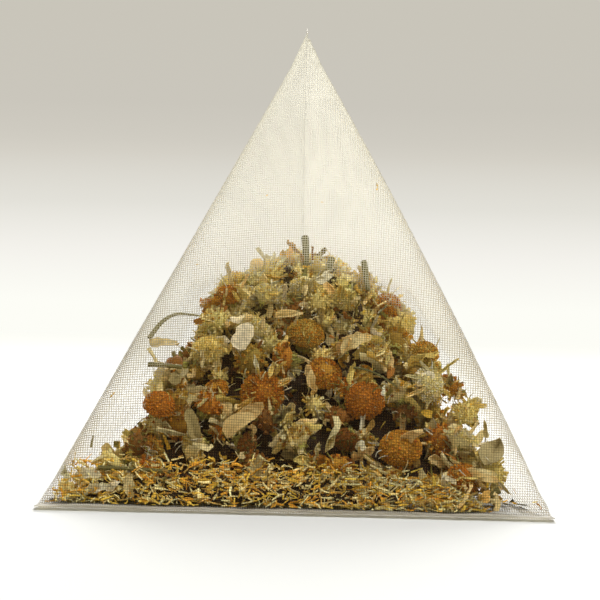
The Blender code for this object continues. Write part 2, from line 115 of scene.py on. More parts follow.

# Flower heads, in the order of the frame's nodes: wall, share of the way up it and across it,
# disc radius in mm, tilt from the wall's normal and the way it tilts in degrees, stem in mm, with
# 0 for a short broken one, and what the head looks like.
HEADS = [
    ("front", 0.249, 0.680, 2.50, 12, 200, 0, "rust"),
    ("front", 0.156, 0.745, 2.60, 15, 100, 0, "gold"),
    ("front", 0.302, 0.575, 2.25, 20, 30, 0, "hollow"),
    ("front", 0.268, 0.275, 1.60, 25, 150, 0, "hollow"),
    ("front", 0.258, 0.405, 2.60, 25, 290, 0, "russet"),
    ("front", 0.378, 0.520, 2.35, 30, 80, 0, "ochre"),
    ("front", 0.176, 0.620, 1.60, 80, 250, 0, "cup"),
    ("front", 0.342, 0.225, 2.20, 35, 120, 0, "woolly"),
    ("front", 0.386, 0.345, 1.90, 75, 70, 0, "cream"),
    ("front", 0.350, 0.745, 1.80, 60, 20, 0, "ragged"),
    ("front", 0.158, 0.262, 1.70, 70, 200, 0, "woolly"),
    ("front", 0.163, 0.380, 1.55, 85, 330, 0, "cup"),
    ("front", 0.173, 0.500, 1.90, 70, 120, 0, "ragged"),
    ("front", 0.480, 0.515, 1.70, 97, 270, 1.0, "cream"),
    ("front", 0.458, 0.672, 1.70, 97, 250, 1.0, "woolly"),
    ("front", 0.460, 0.228, 1.75, 40, 100, 0, "russet"),
    ("front", 0.462, 0.370, 1.60, 60, 60, 0, "cream"),
    ("right", 0.175, 0.26, 2.00, 30, 40, 0, "ragged"),
    ("right", 0.170, 0.42, 2.30, 15, 200, 0, "rust"),
    ("right", 0.175, 0.59, 2.10, 60, 300, 0, "woolly"),
    ("right", 0.190, 0.75, 1.90, 35, 120, 0, "ochre"),
    ("right", 0.300, 0.28, 2.10, 20, 240, 0, "gold"),
    ("right", 0.295, 0.46, 2.20, 50, 70, 0, "woolly"),
    ("right", 0.310, 0.65, 2.10, 15, 10, 0, "hollow"),
    ("right", 0.430, 0.30, 1.90, 40, 160, 0, "ragged"),
    ("right", 0.425, 0.55, 2.20, 25, 330, 0, "ochre"),
    ("left", 0.180, 0.25, 1.90, 25, 100, 0, "gold"),
    ("left", 0.170, 0.41, 2.20, 20, 10, 0, "woolly"),
    ("left", 0.175, 0.58, 2.30, 55, 220, 0, "russet"),
    ("left", 0.180, 0.74, 2.00, 30, 80, 0, "ochre"),
    ("left", 0.300, 0.34, 2.10, 15, 180, 0, "rust"),
    ("left", 0.310, 0.54, 2.20, 35, 300, 0, "woolly"),
    ("left", 0.300, 0.73, 2.00, 20, 40, 0, "ragged"),
    ("left", 0.430, 0.46, 2.20, 30, 140, 0, "hollow"),
    ("left", 0.430, 0.70, 1.90, 60, 60, 0, "woolly"),
    ("front", 0.090, 0.862, 1.90, 20, 30, 0, "russet"),
    ("front", 0.216, 0.150, 1.90, 20, 60, 0, "rust"),
    ("front", 0.165, 0.890, 1.65, 80, 60, 0, "cream"),
    ("front", 0.425, 0.815, 1.55, 35, 20, 0, "russet"),
    ("front", 0.270, 0.855, 2.00, 40, 340, 0, "cream"),
    ("front", 0.330, 0.880, 1.60, 30, 60, 0, "ochre"),
]
HEADS_ON_MOUND = 35        # the first so many sit on the mound, and the rest lean on the gauze

# Each look of a head: the colours of its florets, how deep its middle is sunk, how many ray
# petals, shrivelled wisps, green scales and closed rays are left on it, where on the dome the
# closed rays begin, and the width and length of a floret against those of a plain one.
LOOKS = {
    "rust": (("floret_rust", "floret_rust", "floret_brown"), 0.00, 2, 3, 16, 0, 1.0, 1.00, 0.75),
    "gold": (("floret_gold", "floret_gold", "floret_rust"), 0.10, 1, 4, 20, 0, 1.0, 1.05, 0.85),
    "hollow": (("floret_gold", "floret_rust", "floret_brown"), 0.40, 2, 4, 18, 0, 1.0, 0.95, 0.80),
    "russet": (("floret_rust", "floret_gold", "floret_brown"), 0.15, 4, 12, 22, 14, 0.6, 0.95, 1.10),
    "ochre": (("floret_ochre", "floret_gold", "floret_ochre"), 0.00, 3, 6, 20, 0, 1.0, 0.90, 0.95),
    "cup": (("floret_brown", "scale_olive", "floret_brown"), 0.15, 3, 4, 34, 0, 1.0, 0.95, 0.90),
    "woolly": (("floret_pale", "floret_cream", "floret_ochre"), 0.00, 3, 6, 8, 14, 0.80, 0.72, 1.15),
    "cream": (("floret_cream", "petal_white", "floret_pale"), 0.00, 5, 8, 4, 16, 0.70, 0.72, 1.10),
    "ragged": (("floret_cream", "floret_ochre", "floret_brown"), 0.10, 5, 12, 10, 24, 0.45, 0.80, 1.30),
}

# Single petals that show against the front wall: share up, share across, depth, length and width
# in mm, turn in degrees from straight across, pattern and colour. The first eight are the
# frame's loose petals.
PETALS = [
    (0.300, 0.500, 1.0, 4.2, 1.3, 118, "petal_curved", "petal_tan"),
    (0.203, 0.575, 1.0, 4.6, 1.3, 96, "petal_folded", "petal_cream"),
    (0.130, 0.590, 1.0, 4.6, 1.5, 122, "petal_curved", "petal_cream"),
    (0.214, 0.420, 0.8, 6.0, 2.0, 42, "petal_broad", "petal_tan"),
    (0.360, 0.765, 1.0, 5.4, 1.7, 24, "petal_curved", "petal_cream"),
    (0.112, 0.820, 1.0, 4.2, 1.5, 96, "petal_forked", "petal_white"),
    (0.175, 0.670, 1.0, 3.0, 1.0, 68, "petal_hooked", "petal_white"),
    (0.130, 0.330, 1.0, 4.0, 1.4, 10, "petal_folded", "petal_cream"),
]
SINGLE_PETALS = [
    (0.375, 0.270, 1.6, 3.4, 1.2, 92, "petal_folded", "petal_yellow"),
    (0.372, 0.336, 1.3, 3.2, 2.2, 70, "petal_broad", "petal_white"),
    (0.398, 0.520, 1.2, 3.6, 0.8, 2, "petal_broad", "petal_cream"),
    (0.135, 0.414, 1.2, 4.2, 1.6, 86, "petal_broad", "petal_grey"),
    (0.108, 0.448, 1.0, 2.6, 1.0, 72, "petal_folded", "petal_cream"),
    (0.100, 0.629, 1.2, 4.0, 1.2, 92, "petal_folded", "petal_tan"),
    (0.349, 0.800, 1.0, 4.6, 1.3, 28, "petal_curved", "petal_cream"),
    (0.332, 0.815, 1.2, 4.2, 1.0, 8, "petal_curved", "petal_yellow"),
    (0.352, 0.870, 1.3, 3.8, 1.1, 70, "petal_folded", "petal_cream"),
    (0.365, 0.700, 1.4, 3.6, 1.3, 40, "petal_folded", "petal_tan"),
    (0.325, 0.940, 1.0, 4.6, 1.0, 18, "petal_folded", "petal_yellow"),
    (0.305, 0.945, 1.2, 4.4, 1.0, 2, "petal_curved", "petal_tan"),
    (0.287, 0.930, 1.4, 4.2, 0.9, 342, "petal_folded", "petal_cream"),
    (0.270, 0.925, 1.6, 3.8, 0.9, 325, "petal_curved", "petal_tan"),
    (0.285, 0.860, 1.0, 2.6, 1.9, 80, "petal_broad", "petal_white"),
    (0.116, 0.845, 1.1, 4.6, 1.0, 80, "petal_forked", "petal_white"),
    (0.118, 0.800, 1.2, 3.8, 0.8, 112, "petal_hooked", "petal_white"),
    (0.120, 0.880, 1.1, 4.0, 0.8, 66, "petal_forked", "petal_cream"),
    (0.278, 0.353, 1.1, 4.6, 1.0, 48, "petal_curved", "petal_yellow"),
    (0.240, 0.322, 1.3, 3.4, 0.8, 80, "petal_hooked", "petal_cream"),
    (0.210, 0.690, 1.5, 3.0, 0.8, 72, "petal_hooked", "petal_cream"),
    (0.078, 0.072, 1.0, 4.6, 2.0, 14, "petal_curved", "petal_cream"),
    (0.064, 0.120, 1.0, 4.4, 1.4, 352, "petal_curved", "petal_white"),
    (0.072, 0.175, 1.1, 3.6, 1.2, 20, "petal_hooked", "petal_white"),
    (0.060, 0.060, 0.9, 4.4, 1.3, 332, "petal_curved", "petal_white"),
    (0.355, 0.120, 1.6, 3.4, 1.6, 20, "petal_broad", "petal_tan"),
    (0.330, 0.110, 1.5, 3.0, 1.3, 88, "petal_curved", "petal_tan"),
    (0.300, 0.180, 1.6, 3.2, 1.5, 60, "petal_broad", "petal_grey"),
    (0.200, 0.230, 1.6, 3.4, 1.5, 110, "petal_broad", "petal_grey"),
    (0.230, 0.480, 2.0, 3.0, 1.2, 60, "petal_folded", "petal_grey"),
    (0.190, 0.800, 1.8, 3.4, 1.4, 50, "petal_curved", "petal_tan"),
    (0.140, 0.690, 1.8, 3.2, 1.1, 20, "petal_folded", "petal_tan"),
    (0.420, 0.300, 1.6, 3.4, 1.2, 60, "petal_curved", "petal_tan"),
    (0.440, 0.560, 1.6, 3.4, 1.2, 100, "petal_folded", "petal_grey"),
    (0.108, 0.922, 1.7, 3.8, 0.8, 10, "petal_broad", "petal_yellow"),
    (0.092, 0.930, 1.4, 4.4, 0.9, 356, "petal_broad", "petal_tan"),
    (0.079, 0.932, 1.2, 4.8, 0.8, 347, "petal_broad", "petal_cream"),
    (0.067, 0.928, 1.0, 4.4, 0.8, 340, "petal_broad", "petal_tan"),
    (0.086, 0.905, 1.1, 3.6, 0.6, 2, "petal_folded", "petal_yellow"),
    (0.090, 0.100, 1.0, 3.8, 1.4, 62, "petal_hooked", "petal_cream"),
    (0.055, 0.150, 0.9, 4.6, 1.2, 12, "petal_curved", "petal_white"),
    (0.085, 0.140, 0.9, 3.6, 1.3, 100, "petal_curved", "petal_cream"),
]
# The pointed leaf: share up, share across, depth, length and width in mm, and turn
LEAF = (0.166, 0.985, 0.5, 4.2, 2.8, 62)
FAN = (0.085, 0.925, 1.6)  # middle of the fan of petals at the lower right

# Stalks inside the bag: points as share up, share across and depth in mm, then the radius in mm
# at the two ends.
STALKS = [
    ([(0.500, 0.523, 6.0), (0.553, 0.524, 6.0), (0.590, 0.520, 6.0), (0.606, 0.517, 6.0)], 0.34, 0.46),
    ([(0.507, 0.608, 6.0), (0.533, 0.617, 6.0), (0.548, 0.630, 6.0), (0.561, 0.647, 6.0)], 0.32, 0.46),
    ([(0.497, 0.779, 6.0), (0.526, 0.787, 6.0), (0.556, 0.796, 6.0)], 0.28, 0.42),
    ([(0.345, 0.040, 1.6), (0.372, 0.045, 1.6), (0.392, 0.060, 1.8), (0.404, 0.090, 2.2),
      (0.406, 0.150, 3.0)], 0.30, 0.13),
    ([(0.290, 0.075, 1.4), (0.291, 0.120, 1.5), (0.292, 0.170, 2.0)], 0.32, 0.26),
    ([(0.085, 0.080, 1.0), (0.086, 0.150, 1.0), (0.082, 0.235, 1.2)], 0.30, 0.24),
    ([(0.126, 0.040, 1.2), (0.145, 0.034, 1.0)], 0.16, 0.12),
    ([(0.289, 0.655, 1.0), (0.290, 0.690, 0.9), (0.277, 0.730, 0.9), (0.255, 0.765, 1.1)], 0.16, 0.10),
    ([(0.054, 0.900, 1.6), (0.060, 0.915, 1.3), (0.063, 0.925, 1.2)], 0.30, 0.46),
]

# Grains that cling to the gauze: share up, share across, length in mm, turn and colour
GRAINS = [
    (0.219, 0.030, 1.2, 58, "crumb_ochre"),
    (0.663, 0.960, 0.9, 100, "crumb_ochre"),
    (0.655, 0.950, 0.5, 60, "crumb_ochre"),
    (0.624, 0.608, 0.45, 0, "crumb_ochre"),
    (0.636, 0.296, 0.4, 40, "crumb_ochre"),
    (0.486, 0.086, 0.4, 20, "crumb_ochre"),
    (0.030, 0.988, 1.1, 140, "floret_gold"),
    (0.026, 0.992, 0.9, 40, "floret_rust"),
    (0.036, 0.982, 0.8, 10, "crumb_cream"),
    (0.036, 0.922, 0.9, 30, "crumb_ochre"),
    (0.030, 0.905, 0.7, 100, "crumb_cream"),
    (0.033, 0.940, 0.8, 160, "crumb_ochre"),
]

# Where the heap of flowers ends as the front wall shows it: share across and share up
HEAP_OUTLINE = [
    (0.0, 0.05), (0.06, 0.12), (0.12, 0.20), (0.16, 0.38), (0.22, 0.46), (0.50, 0.50),
    (0.72, 0.46), (0.86, 0.40), (0.92, 0.36), (0.95, 0.30), (0.97, 0.18), (1.0, 0.12),
]
# The same for a side wall, from its front fold to its rear one
SIDE_OUTLINE = [(0.0, 0.03), (0.10, 0.20), (0.20, 0.42), (0.85, 0.42), (1.0, 0.22)]

# Deep hollows between the heads behind the front wall: share up, share across and radius in mm
HOLLOWS = [
    (0.148, 0.478, 2.0), (0.140, 0.325, 1.7), (0.270, 0.480, 1.2), (0.205, 0.545, 1.3),
    (0.240, 0.345, 1.3),
]

# The small heads behind each wall: how many places are tried, how coarse their florets are
# drawn, and how near to each other they may stand, where 1 is side by side
SMALL_HEADS = {"front": (320, 1.55, 0.80), "right": (230, 2.1, 0.78), "left": (230, 2.1, 0.78)}


def linear(colour):
    """An sRGB colour written as six hex digits, as linear red, green, blue and alpha."""
    parts = [int(colour[k:k + 2], 16) / 255 for k in (1, 3, 5)]
    return (*(c / 12.92 if c <= 0.04045 else ((c + 0.055) / 1.055) ** 2.4 for c in parts), 1.0)


def colour_of(name, text, default):
    """A colour setting whose default is an sRGB hex value."""
    return bpy.props.FloatVectorProperty(
        name=name, description=text, subtype="COLOR", size=4, min=0, max=1, default=linear(default))


def length_of(name, text, default, precision=5):
    """A length setting in metres."""
    return bpy.props.FloatProperty(
        name=name, description=text, default=default, unit="LENGTH", precision=precision)


def amount_of(name, text, default):
    """A setting for a number of pieces."""
    return bpy.props.IntProperty(name=name, description=text, default=default, min=0)


def power_of(name, text, default):
    """A lamp's power setting."""
    return bpy.props.FloatProperty(name=name, description=text, default=default, min=0, unit="POWER")


class TeaBagGauze(bpy.types.PropertyGroup):
    """Sizes and colours of the gauze."""
    upright_pitch: length_of(
        "Upright thread pitch", "Spacing of the threads that run up the walls", 0.27 * MM)
    level_pitch: length_of(
        "Level thread pitch", "Spacing of the threads that run across the walls", 0.33 * MM)
    thread_share: bpy.props.FloatProperty(
        name="Thread width", description="Width of a thread as a share of its pitch",
        default=0.21, min=0.05, max=0.6, subtype="FACTOR")
    wall: length_of("Wall", "Thickness of the gauze", 0.12 * MM)
    sag: length_of("Sag", "How far the walls wander from flat", 0.35 * MM)
    thread: colour_of("Thread", "Nylon thread", "#DAD7C9")
    # Threads over the filling and low on the bag: partly a dusting, partly painted shade from the
    # filling behind them
    dusty: colour_of("Dusty thread", "Thread dulled by the filling behind it", "#84713C")
    # Grey melted nylon of the seals, drawn darker than it is: painted shade like that under the front
    # seam
    fused: colour_of("Fused seal", "Nylon melted together in a seal", "#C6BEB2")


class TeaBagFilling(bpy.types.PropertyGroup):
    """Colours and amounts of the filling."""
    floret_rust: colour_of("Rust floret", "Florets of the deepest heads", "#EE9A30")
    floret_gold: colour_of("Gold floret", "Florets of the golden heads", "#F4B23C")
    floret_brown: colour_of("Brown floret", "Florets dried to brown", "#B87A30")
    floret_ochre: colour_of("Ochre floret", "Florets of the duller heads", "#EBC256")
    floret_pale: colour_of("Pale floret", "Florets of the youngest heads", "#F8E28A")
    floret_cream: colour_of("Cream floret", "Tips of the youngest florets", "#FFEEA6")
    scale_green: colour_of("Green scale", "Scales of the cup under a head", "#AFAA54")
    scale_olive: colour_of("Olive scale", "Older scales of the cup", "#93863F")
    petal_white: colour_of("White petal", "Palest ray petals", "#FFF7D4")
    petal_cream: colour_of("Cream petal", "Ray petals", "#FCEAAA")
    petal_yellow: colour_of("Yellow petal", "Ray petals stained by pollen", "#F4DC7C")
    petal_tan: colour_of("Tan petal", "Ray petals dried to tan", "#F0D48E")
    petal_grey: colour_of("Grey petal", "Ray petals dried to grey", "#B8A66C")
    leaf: colour_of("Leaf", "The single pointed leaf", "#A3966A")
    stalk: colour_of("Stalk", "Bits of flower stalk", "#6E6838")
    crumb_ochre: colour_of("Ochre crumb", "Crumbs of florets", "#F8CE50")
    crumb_cream: colour_of("Cream crumb", "Crumbs of petals", "#FFF0A8")
    crumb_tan: colour_of("Tan crumb", "Crumbs of scales and stalks", "#DDB45E")
    # Nearly black: painted shade deep in the heap, the colour of the mound's core
    crumb_dark: colour_of("Dark crumb", "Crumbs deep in the heap", "#2A1C0C")
    crumbs: amount_of("Crumbs", "Slivers in the bed of crumbs", 5600)
    bits: amount_of("Bits", "Broken petals and scales between the heads", 960)
    floret_width: length_of("Floret width", "Width of one disc floret", 0.31 * MM)


class TeaBagStage(bpy.types.PropertyGroup):
    """Floor, backdrop, lamps and camera."""
    floor: colour_of("Floor", "White paper under the bag", "#DEDEDA")
    # The camera sees the backdrop as a glow in these colours, with painted shade that darkens it
    # towards the top
    low_glow: colour_of("Low backdrop", "Backdrop just over the floor", "#FDFDF6")
    middle: colour_of("Middle backdrop", "Backdrop at half height", "#E3E1D9")
    high: colour_of("High backdrop", "Backdrop at the top of the view", "#C9C5BA")
    ambient: bpy.props.FloatProperty(
        name="Ambient light", description="Strength of the even light", default=0.32, min=0)
    key_power: power_of("Key lamp", "Power of the large soft lamp in front", 1.46)
    back_power: power_of("Back lamp", "Power of the large soft lamp behind", 2.6)
    distance: length_of("Camera distance", "From the camera to the bag", 0.300, precision=3)
    lens: bpy.props.FloatProperty(
        name="Lens", description="Focal length", default=162.9, unit="CAMERA")


# Patterns: small shapes that are modelled once and then copied

def begin():
    """Leaves edit mode and deselects everything."""
    if bpy.context.object and bpy.context.object.mode != "OBJECT":
        bpy.ops.object.mode_set(mode="OBJECT")
    bpy.ops.object.select_all(action="DESELECT")


def link_object(name, data):
    """A new object in the scene that holds this mesh, lamp or camera."""
    made = bpy.data.objects.new(name, data)
    bpy.context.scene.collection.objects.link(made)
    return made


def select_alone(piece):
    """Makes one object the only selected one, for the operators that follow."""
    begin()
    piece.select_set(True)
    bpy.context.view_layer.objects.active = piece


def edit_select(shape, kind, test):
    """In edit mode, selects only the vertices or faces that pass the test."""
    bpy.ops.object.mode_set(mode="EDIT")
    bpy.ops.mesh.select_mode(type=kind)
    bpy.ops.mesh.select_all(action="DESELECT")
    mesh = bmesh.from_edit_mesh(shape.data)
    mesh.verts.index_update()
    for part in mesh.verts if kind == "VERT" else mesh.faces:
        part.select_set(test(part))
    mesh.select_flush_mode()
    bmesh.update_edit_mesh(shape.data)


def selected_middle(shape):
    """Middle and mean normal of what is selected in edit mode."""
    mesh = bmesh.from_edit_mesh(shape.data)
    chosen = [v for v in mesh.verts if v.select]
    middle = sum((v.co for v in chosen), Vector()) / len(chosen)
    faces = [f.normal for f in mesh.faces if f.select]
    return middle, sum(faces, Vector()).normalized() if faces else Vector((0, 0, 1))


def keep_pattern(shape):
    """Reads a finished pattern's points and faces and removes its object."""
    bpy.ops.object.mode_set(mode="EDIT")
    bpy.ops.mesh.select_all(action="SELECT")
    bpy.ops.mesh.normals_make_consistent(inside=False)
    bpy.ops.object.mode_set(mode="OBJECT")
    data = shape.data
    points = np.empty(len(data.vertices) * 3)
    data.vertices.foreach_get("co", points)
    corners = np.empty(len(data.loops), int)
    data.loops.foreach_get("vertex_index", corners)
    sizes = np.empty(len(data.polygons), int)
    data.polygons.foreach_get("loop_total", sizes)
    bpy.data.objects.remove(shape)
    bpy.data.meshes.remove(data)
    return points.reshape(-1, 3), corners, sizes


def model_floret():
    """A disc floret one unit wide and tall: a five-sided tube with a sunk mouth."""
    begin()
    bpy.ops.mesh.primitive_cone_add(
        vertices=5, radius1=0.26, radius2=0.5, depth=1, location=(0, 0, 0.5))
    shape = bpy.context.object
    edit_select(shape, "FACE", lambda f: f.normal.z > 0.9)
    bpy.ops.mesh.inset(thickness=0.17)
    bpy.ops.transform.translate(value=(0, 0, -0.26))
    return keep_pattern(shape)


def model_petal(outline, bend, fold, twist, forked=False, sway=0.0, seed=1):
    """A ray petal one unit long on +Y and one wide: a strip shaped row by row, then thickened.
    The outline gives the width of each row; bend and twist turn each row on from the last, and
    sway is how far the dried strip wanders from side to side."""
    begin()
    rng = random.Random(seed)
    rows = len(outline) - 1
    bpy.ops.mesh.primitive_grid_add(
        x_subdivisions=2, y_subdivisions=rows, size=1, location=(0, 0.5, 0))
    shape = bpy.context.object
    for row, wide in enumerate(outline):
        edit_select(shape, "VERT", lambda v: v.index // 3 == row)
        bpy.ops.transform.resize(value=(wide, 1, 1), center_override=(0, row / rows, 0))
        bpy.ops.transform.translate(value=(rng.uniform(-sway, sway), 0, 0))
        edit_select(shape, "VERT", lambda v: v.index == 3 * row + 1)
        aside = rng.uniform(-sway, sway)
        bpy.ops.transform.translate(value=(aside, 0, -fold * rng.uniform(0.5, 1.4)))
    if forked:
        edit_select(shape, "VERT", lambda v: v.index == 3 * rows + 1)
        bpy.ops.transform.translate(value=(0, -0.24, 0))
    for row in range(1, rows + 1):
        edit_select(shape, "VERT", lambda v: v.index // 3 >= row)
        strip = bmesh.from_edit_mesh(shape.data)
        strip.verts.ensure_lookup_table()
        pivot = strip.verts[3 * row - 2].co.copy()
        turn = bend / rows * rng.uniform(0.4, 1.6)
        bpy.ops.transform.rotate(value=turn, orient_axis="X", center_override=pivot)
        bpy.ops.transform.rotate(value=twist / rows, orient_axis="Y", center_override=pivot)
    bpy.ops.object.mode_set(mode="OBJECT")
    sheet = shape.modifiers.new("thickness", "SOLIDIFY")
    sheet.thickness = 0.035
    sheet.offset = 0
    bpy.ops.object.modifier_apply(modifier=sheet.name)
    return keep_pattern(shape)


def model_shoot(sides, steps, radius, bend, taper, swing=0.0):
    """A thin shoot one unit long that starts at the origin: a disc extruded step by step."""
    begin()
    bpy.ops.mesh.primitive_circle_add(vertices=sides, radius=radius, fill_type="NGON")
    shape = bpy.context.object
    edit_select(shape, "FACE", lambda f: True)
    way = Vector((0, 0, 1))
    for _ in range(steps):
        bpy.ops.mesh.extrude_region_move(TRANSFORM_OT_translate={"value": way / steps})
        middle, _ = selected_middle(shape)
        lean = Matrix.Rotation(bend / steps, 3, "X") @ Matrix.Rotation(swing / steps, 3, "Y")
        way = lean @ way
        bpy.ops.transform.resize(value=(taper, taper, taper), center_override=middle)
    return keep_pattern(shape)


def model_scale():
    """A pointed green scale one unit long, hollowed towards +Z."""
    return model_petal((0.75, 1.0, 0.85, 0.25), 0.5, 0.10, 0.0)


def model_grain():
    """A rounded grain one unit long."""
    begin()
    bpy.ops.mesh.primitive_ico_sphere_add(subdivisions=1, radius=0.5)
    shape = bpy.context.object
    edit_select(shape, "VERT", lambda v: True)
    bpy.ops.transform.resize(value=(1.0, 0.62, 0.5))
    edit_select(shape, "VERT", lambda v: v.co.x > 0.3)
    bpy.ops.transform.resize(value=(1, 0.6, 0.6))
    return keep_pattern(shape)


def model_core():
    """The flesh of a head, one disc radius wide, with its cup end drawn in."""
    begin()
    bpy.ops.mesh.primitive_uv_sphere_add(segments=18, ring_count=10, radius=1)
    shape = bpy.context.object
    edit_select(shape, "VERT", lambda v: v.co.z < -0.5)
    bpy.ops.transform.resize(value=(0.72, 0.72, 1))
    return keep_pattern(shape)


def model_patterns():
    """Every pattern that the filling is made of."""
    long = (0.5, 0.75, 1.0, 0.8, 0.95, 0.7, 0.35)
    broad = (0.70, 0.95, 1.0, 0.88, 1.0, 0.84, 0.55)
    slim = (0.6, 0.8, 0.5, 0.7, 0.45, 0.6, 0.25)
    ray = (0.8, 1.0, 0.95, 0.8, 0.5)
    return {
        "floret": [model_floret()],
        "petal_curved": [model_petal(long, 1.3, 0.16, 0.5, sway=0.10, seed=1),
                         model_petal(long, -1.2, 0.18, -0.6, sway=0.12, seed=2)],
        "petal_folded": [model_petal(slim, 0.9, 0.30, 1.1, sway=0.14, seed=3),
                         model_petal(slim, -0.8, 0.34, -1.2, sway=0.12, seed=4)],
        "petal_broad": [model_petal(broad, 0.45, 0.12, 0.3, sway=0.09, seed=5),
                        model_petal(broad, -0.5, 0.14, -0.4, sway=0.10, seed=6)],
        "petal_hooked": [model_petal(slim, 2.8, 0.16, 0.6, sway=0.10, seed=7),
                         model_petal(slim, -2.6, 0.18, -0.5, sway=0.10, seed=8)],
        "ray": [model_petal(ray, 0.9, 0.30, 0.3, sway=0.10, seed=11),
                model_petal(ray, -0.9, 0.30, -0.4, sway=0.10, seed=12)],
        "petal_forked": [model_petal(long, 0.9, 0.12, 0.8, forked=True, sway=0.12, seed=9)],
        "scale": [model_scale()],
        "wisp": [model_shoot(3, 4, 0.055, 1.3, 0.86, 0.3), model_shoot(3, 4, 0.06, -0.8, 0.84, 1.0),
                 model_shoot(3, 4, 0.05, 2.2, 0.9, -0.5)],
        "sliver": [model_shoot(3, 3, 0.09, 0.7, 0.78), model_shoot(4, 2, 0.10, -0.4, 0.8, 0.3),
                   model_shoot(3, 3, 0.07, 1.5, 0.85, 0.4)],
        "grain": [model_grain()],
        "core": [model_core()],
    }


PATTERNS = {}


class Gathering:
    """Copies of patterns, each with its own points, that become one mesh."""

    def __init__(self):
        self.points = []
        self.corners = []
        self.sizes = []
        self.tints = []
        self.finishes = []
        self.count = 0

    def add(self, pattern, matrix, tint, finish, root=1.0):
        """Places a copy, with its colour and the number of its material. Root is how dark it is
        at its foot, as a share of its colour at the tip: painted shade deep among the florets. A copy
        with the petal finish is darker in a narrow band along its middle: painted shade in its fold."""
        points, corners, sizes = pattern
        rise = np.clip(np.max(points[:, 1:], axis=1), 0, 1)[:, None]
        painted_shade = root + (1 - root) * rise
        if finish == PETAL:
            painted_shade = painted_shade * (1 - 0.2 * (np.abs(points[:, :1]) < 0.16))
        turn = np.array(matrix)
        self.points.append(points @ turn[:3, :3].T + turn[:3, 3])
        self.corners.append(corners + self.count)
        self.sizes.append(sizes)
        self.tints.append(np.array(tint) * painted_shade)
        self.finishes.append(np.full(len(sizes), finish))
        self.count += len(points)

    def build(self, name):
        """Makes the mesh object, with nothing of it outside the bag."""
        points = keep_inside(np.concatenate(self.points))
        corners = np.concatenate(self.corners)
        sizes = np.concatenate(self.sizes)
        data = bpy.data.meshes.new(name)
        data.vertices.add(len(points))
        data.vertices.foreach_set("co", points.ravel())
        data.loops.add(len(corners))
        data.loops.foreach_set("vertex_index", corners)
        data.polygons.add(len(sizes))
        data.polygons.foreach_set("loop_start", np.concatenate(([0], np.cumsum(sizes)[:-1])))
        data.polygons.foreach_set("material_index", np.concatenate(self.finishes))
        for material in filling_materials():
            data.materials.append(material)
        data.update(calc_edges=True)
        tint = data.color_attributes.new("tint", "FLOAT_COLOR", "POINT")
        tint.data.foreach_set("color", np.concatenate(self.tints).astype(np.float32).ravel())
        data.shade_smooth()
        data.set_sharp_from_angle(angle=math.radians(50))
        return link_object(name, data)


def wall_axes(wall):
    """A wall's direction across, up and out, and its first base corner."""
    first, second = WALLS[wall]
    across = (second - first).normalized()
    out = (second - first).cross(TOP - first).normalized()
    return across, out.cross(across), out, first


def wall_point(wall, up, over, depth):
    """A point behind the flat of a wall, by its shares of the way up and across."""
    first, second = WALLS[wall]
    out = wall_axes(wall)[2]
    return first.lerp(TOP, up).lerp(second.lerp(TOP, up), over) - out * depth


def keep_inside(points):
    """Presses points that stand past the inside of the bag back to it."""
    for _ in range(3):
        for wall in WALLS:
            _, _, out, first = wall_axes(wall)
            out, first = np.array(out), np.array(first)
            past = (points - first) @ out + SKIN
            points = points - np.outer(np.clip(past, 0, None), out)
    low = points[:, 2] < SKIN
    points[low, 2] = SKIN
    return points


def depth_in_bag(point):
    """How far a point is from the outside of the nearest wall."""
    return min((wall_axes(wall)[3] - point).dot(wall_axes(wall)[2]) for wall in WALLS)


def along_wall(across, upwards, degrees):
    """The direction in the plane of a wall that is turned so far from straight across."""
    turn = math.radians(degrees)
    return across * math.cos(turn) + upwards * math.sin(turn)


def round_head(angle):
    """The direction at an angle round a head, in the plane of its disc."""
    return Vector((math.cos(angle), math.sin(angle), 0))


def jitter(rng, amount):
    """A random push of up to this amount along each axis."""
    return Vector([rng.uniform(-amount, amount) for _ in range(3)])


def any_spin(rng):
    """A random turn about an axis."""
    return rng.uniform(0, 6.3)


def turned(place, forward, normal, size):
    """The matrix that lays a pattern's +Y along forward and +Z near the normal, at a size."""
    forward = forward.normalized()
    side = forward.cross(normal).normalized()
    up = side.cross(forward)
    turn = Matrix((side, forward, up)).transposed().to_4x4()
    return Matrix.Translation(place) @ turn @ Matrix.Diagonal((*size, 1))


def pointed(place, way, size, spin):
    """The matrix that stands a pattern's +Z along a direction, turned about it."""
    turn = way.to_track_quat("Z", "Y").to_matrix().to_4x4() @ Matrix.Rotation(spin, 4, "Z")
    return Matrix.Translation(place) @ turn @ Matrix.Diagonal((*size, 1))


def palette(settings):
    """The filling's colours and amounts by name."""
    return {key: getattr(settings, key) for key in settings.__annotations__}


def varied(colour, rng, amount=0.16):
    """A colour made a little lighter or darker, and warmer or cooler."""
    light = 1 + rng.uniform(-amount, amount)
    warm = rng.uniform(-0.06, 0.06)
    return (colour[0] * light * (1 + warm), colour[1] * light, colour[2] * light * (1 - warm), 1.0)


# Materials

def add_node(tree, kind, settings=None, links=None):
    """Adds a node with its settings, and links its inputs to the outputs given, or to the first
    output of a node given."""
    node = tree.nodes.new(kind)
    for key, value in (settings or {}).items():
        if isinstance(key, str) and hasattr(node, key):
            setattr(node, key, value)
        else:
            node.inputs[key].default_value = value
    for key, source in (links or {}).items():
        output = source.outputs[0] if isinstance(source, bpy.types.Node) else source
        tree.links.new(output, node.inputs[key])
    return node


def new_material(name):
    """An empty material and its node tree and output."""
    material = bpy.data.materials.new(name)
    material.use_nodes = True
    tree = material.node_tree
    tree.nodes.clear()
    return material, tree, add_node(tree, "ShaderNodeOutputMaterial")


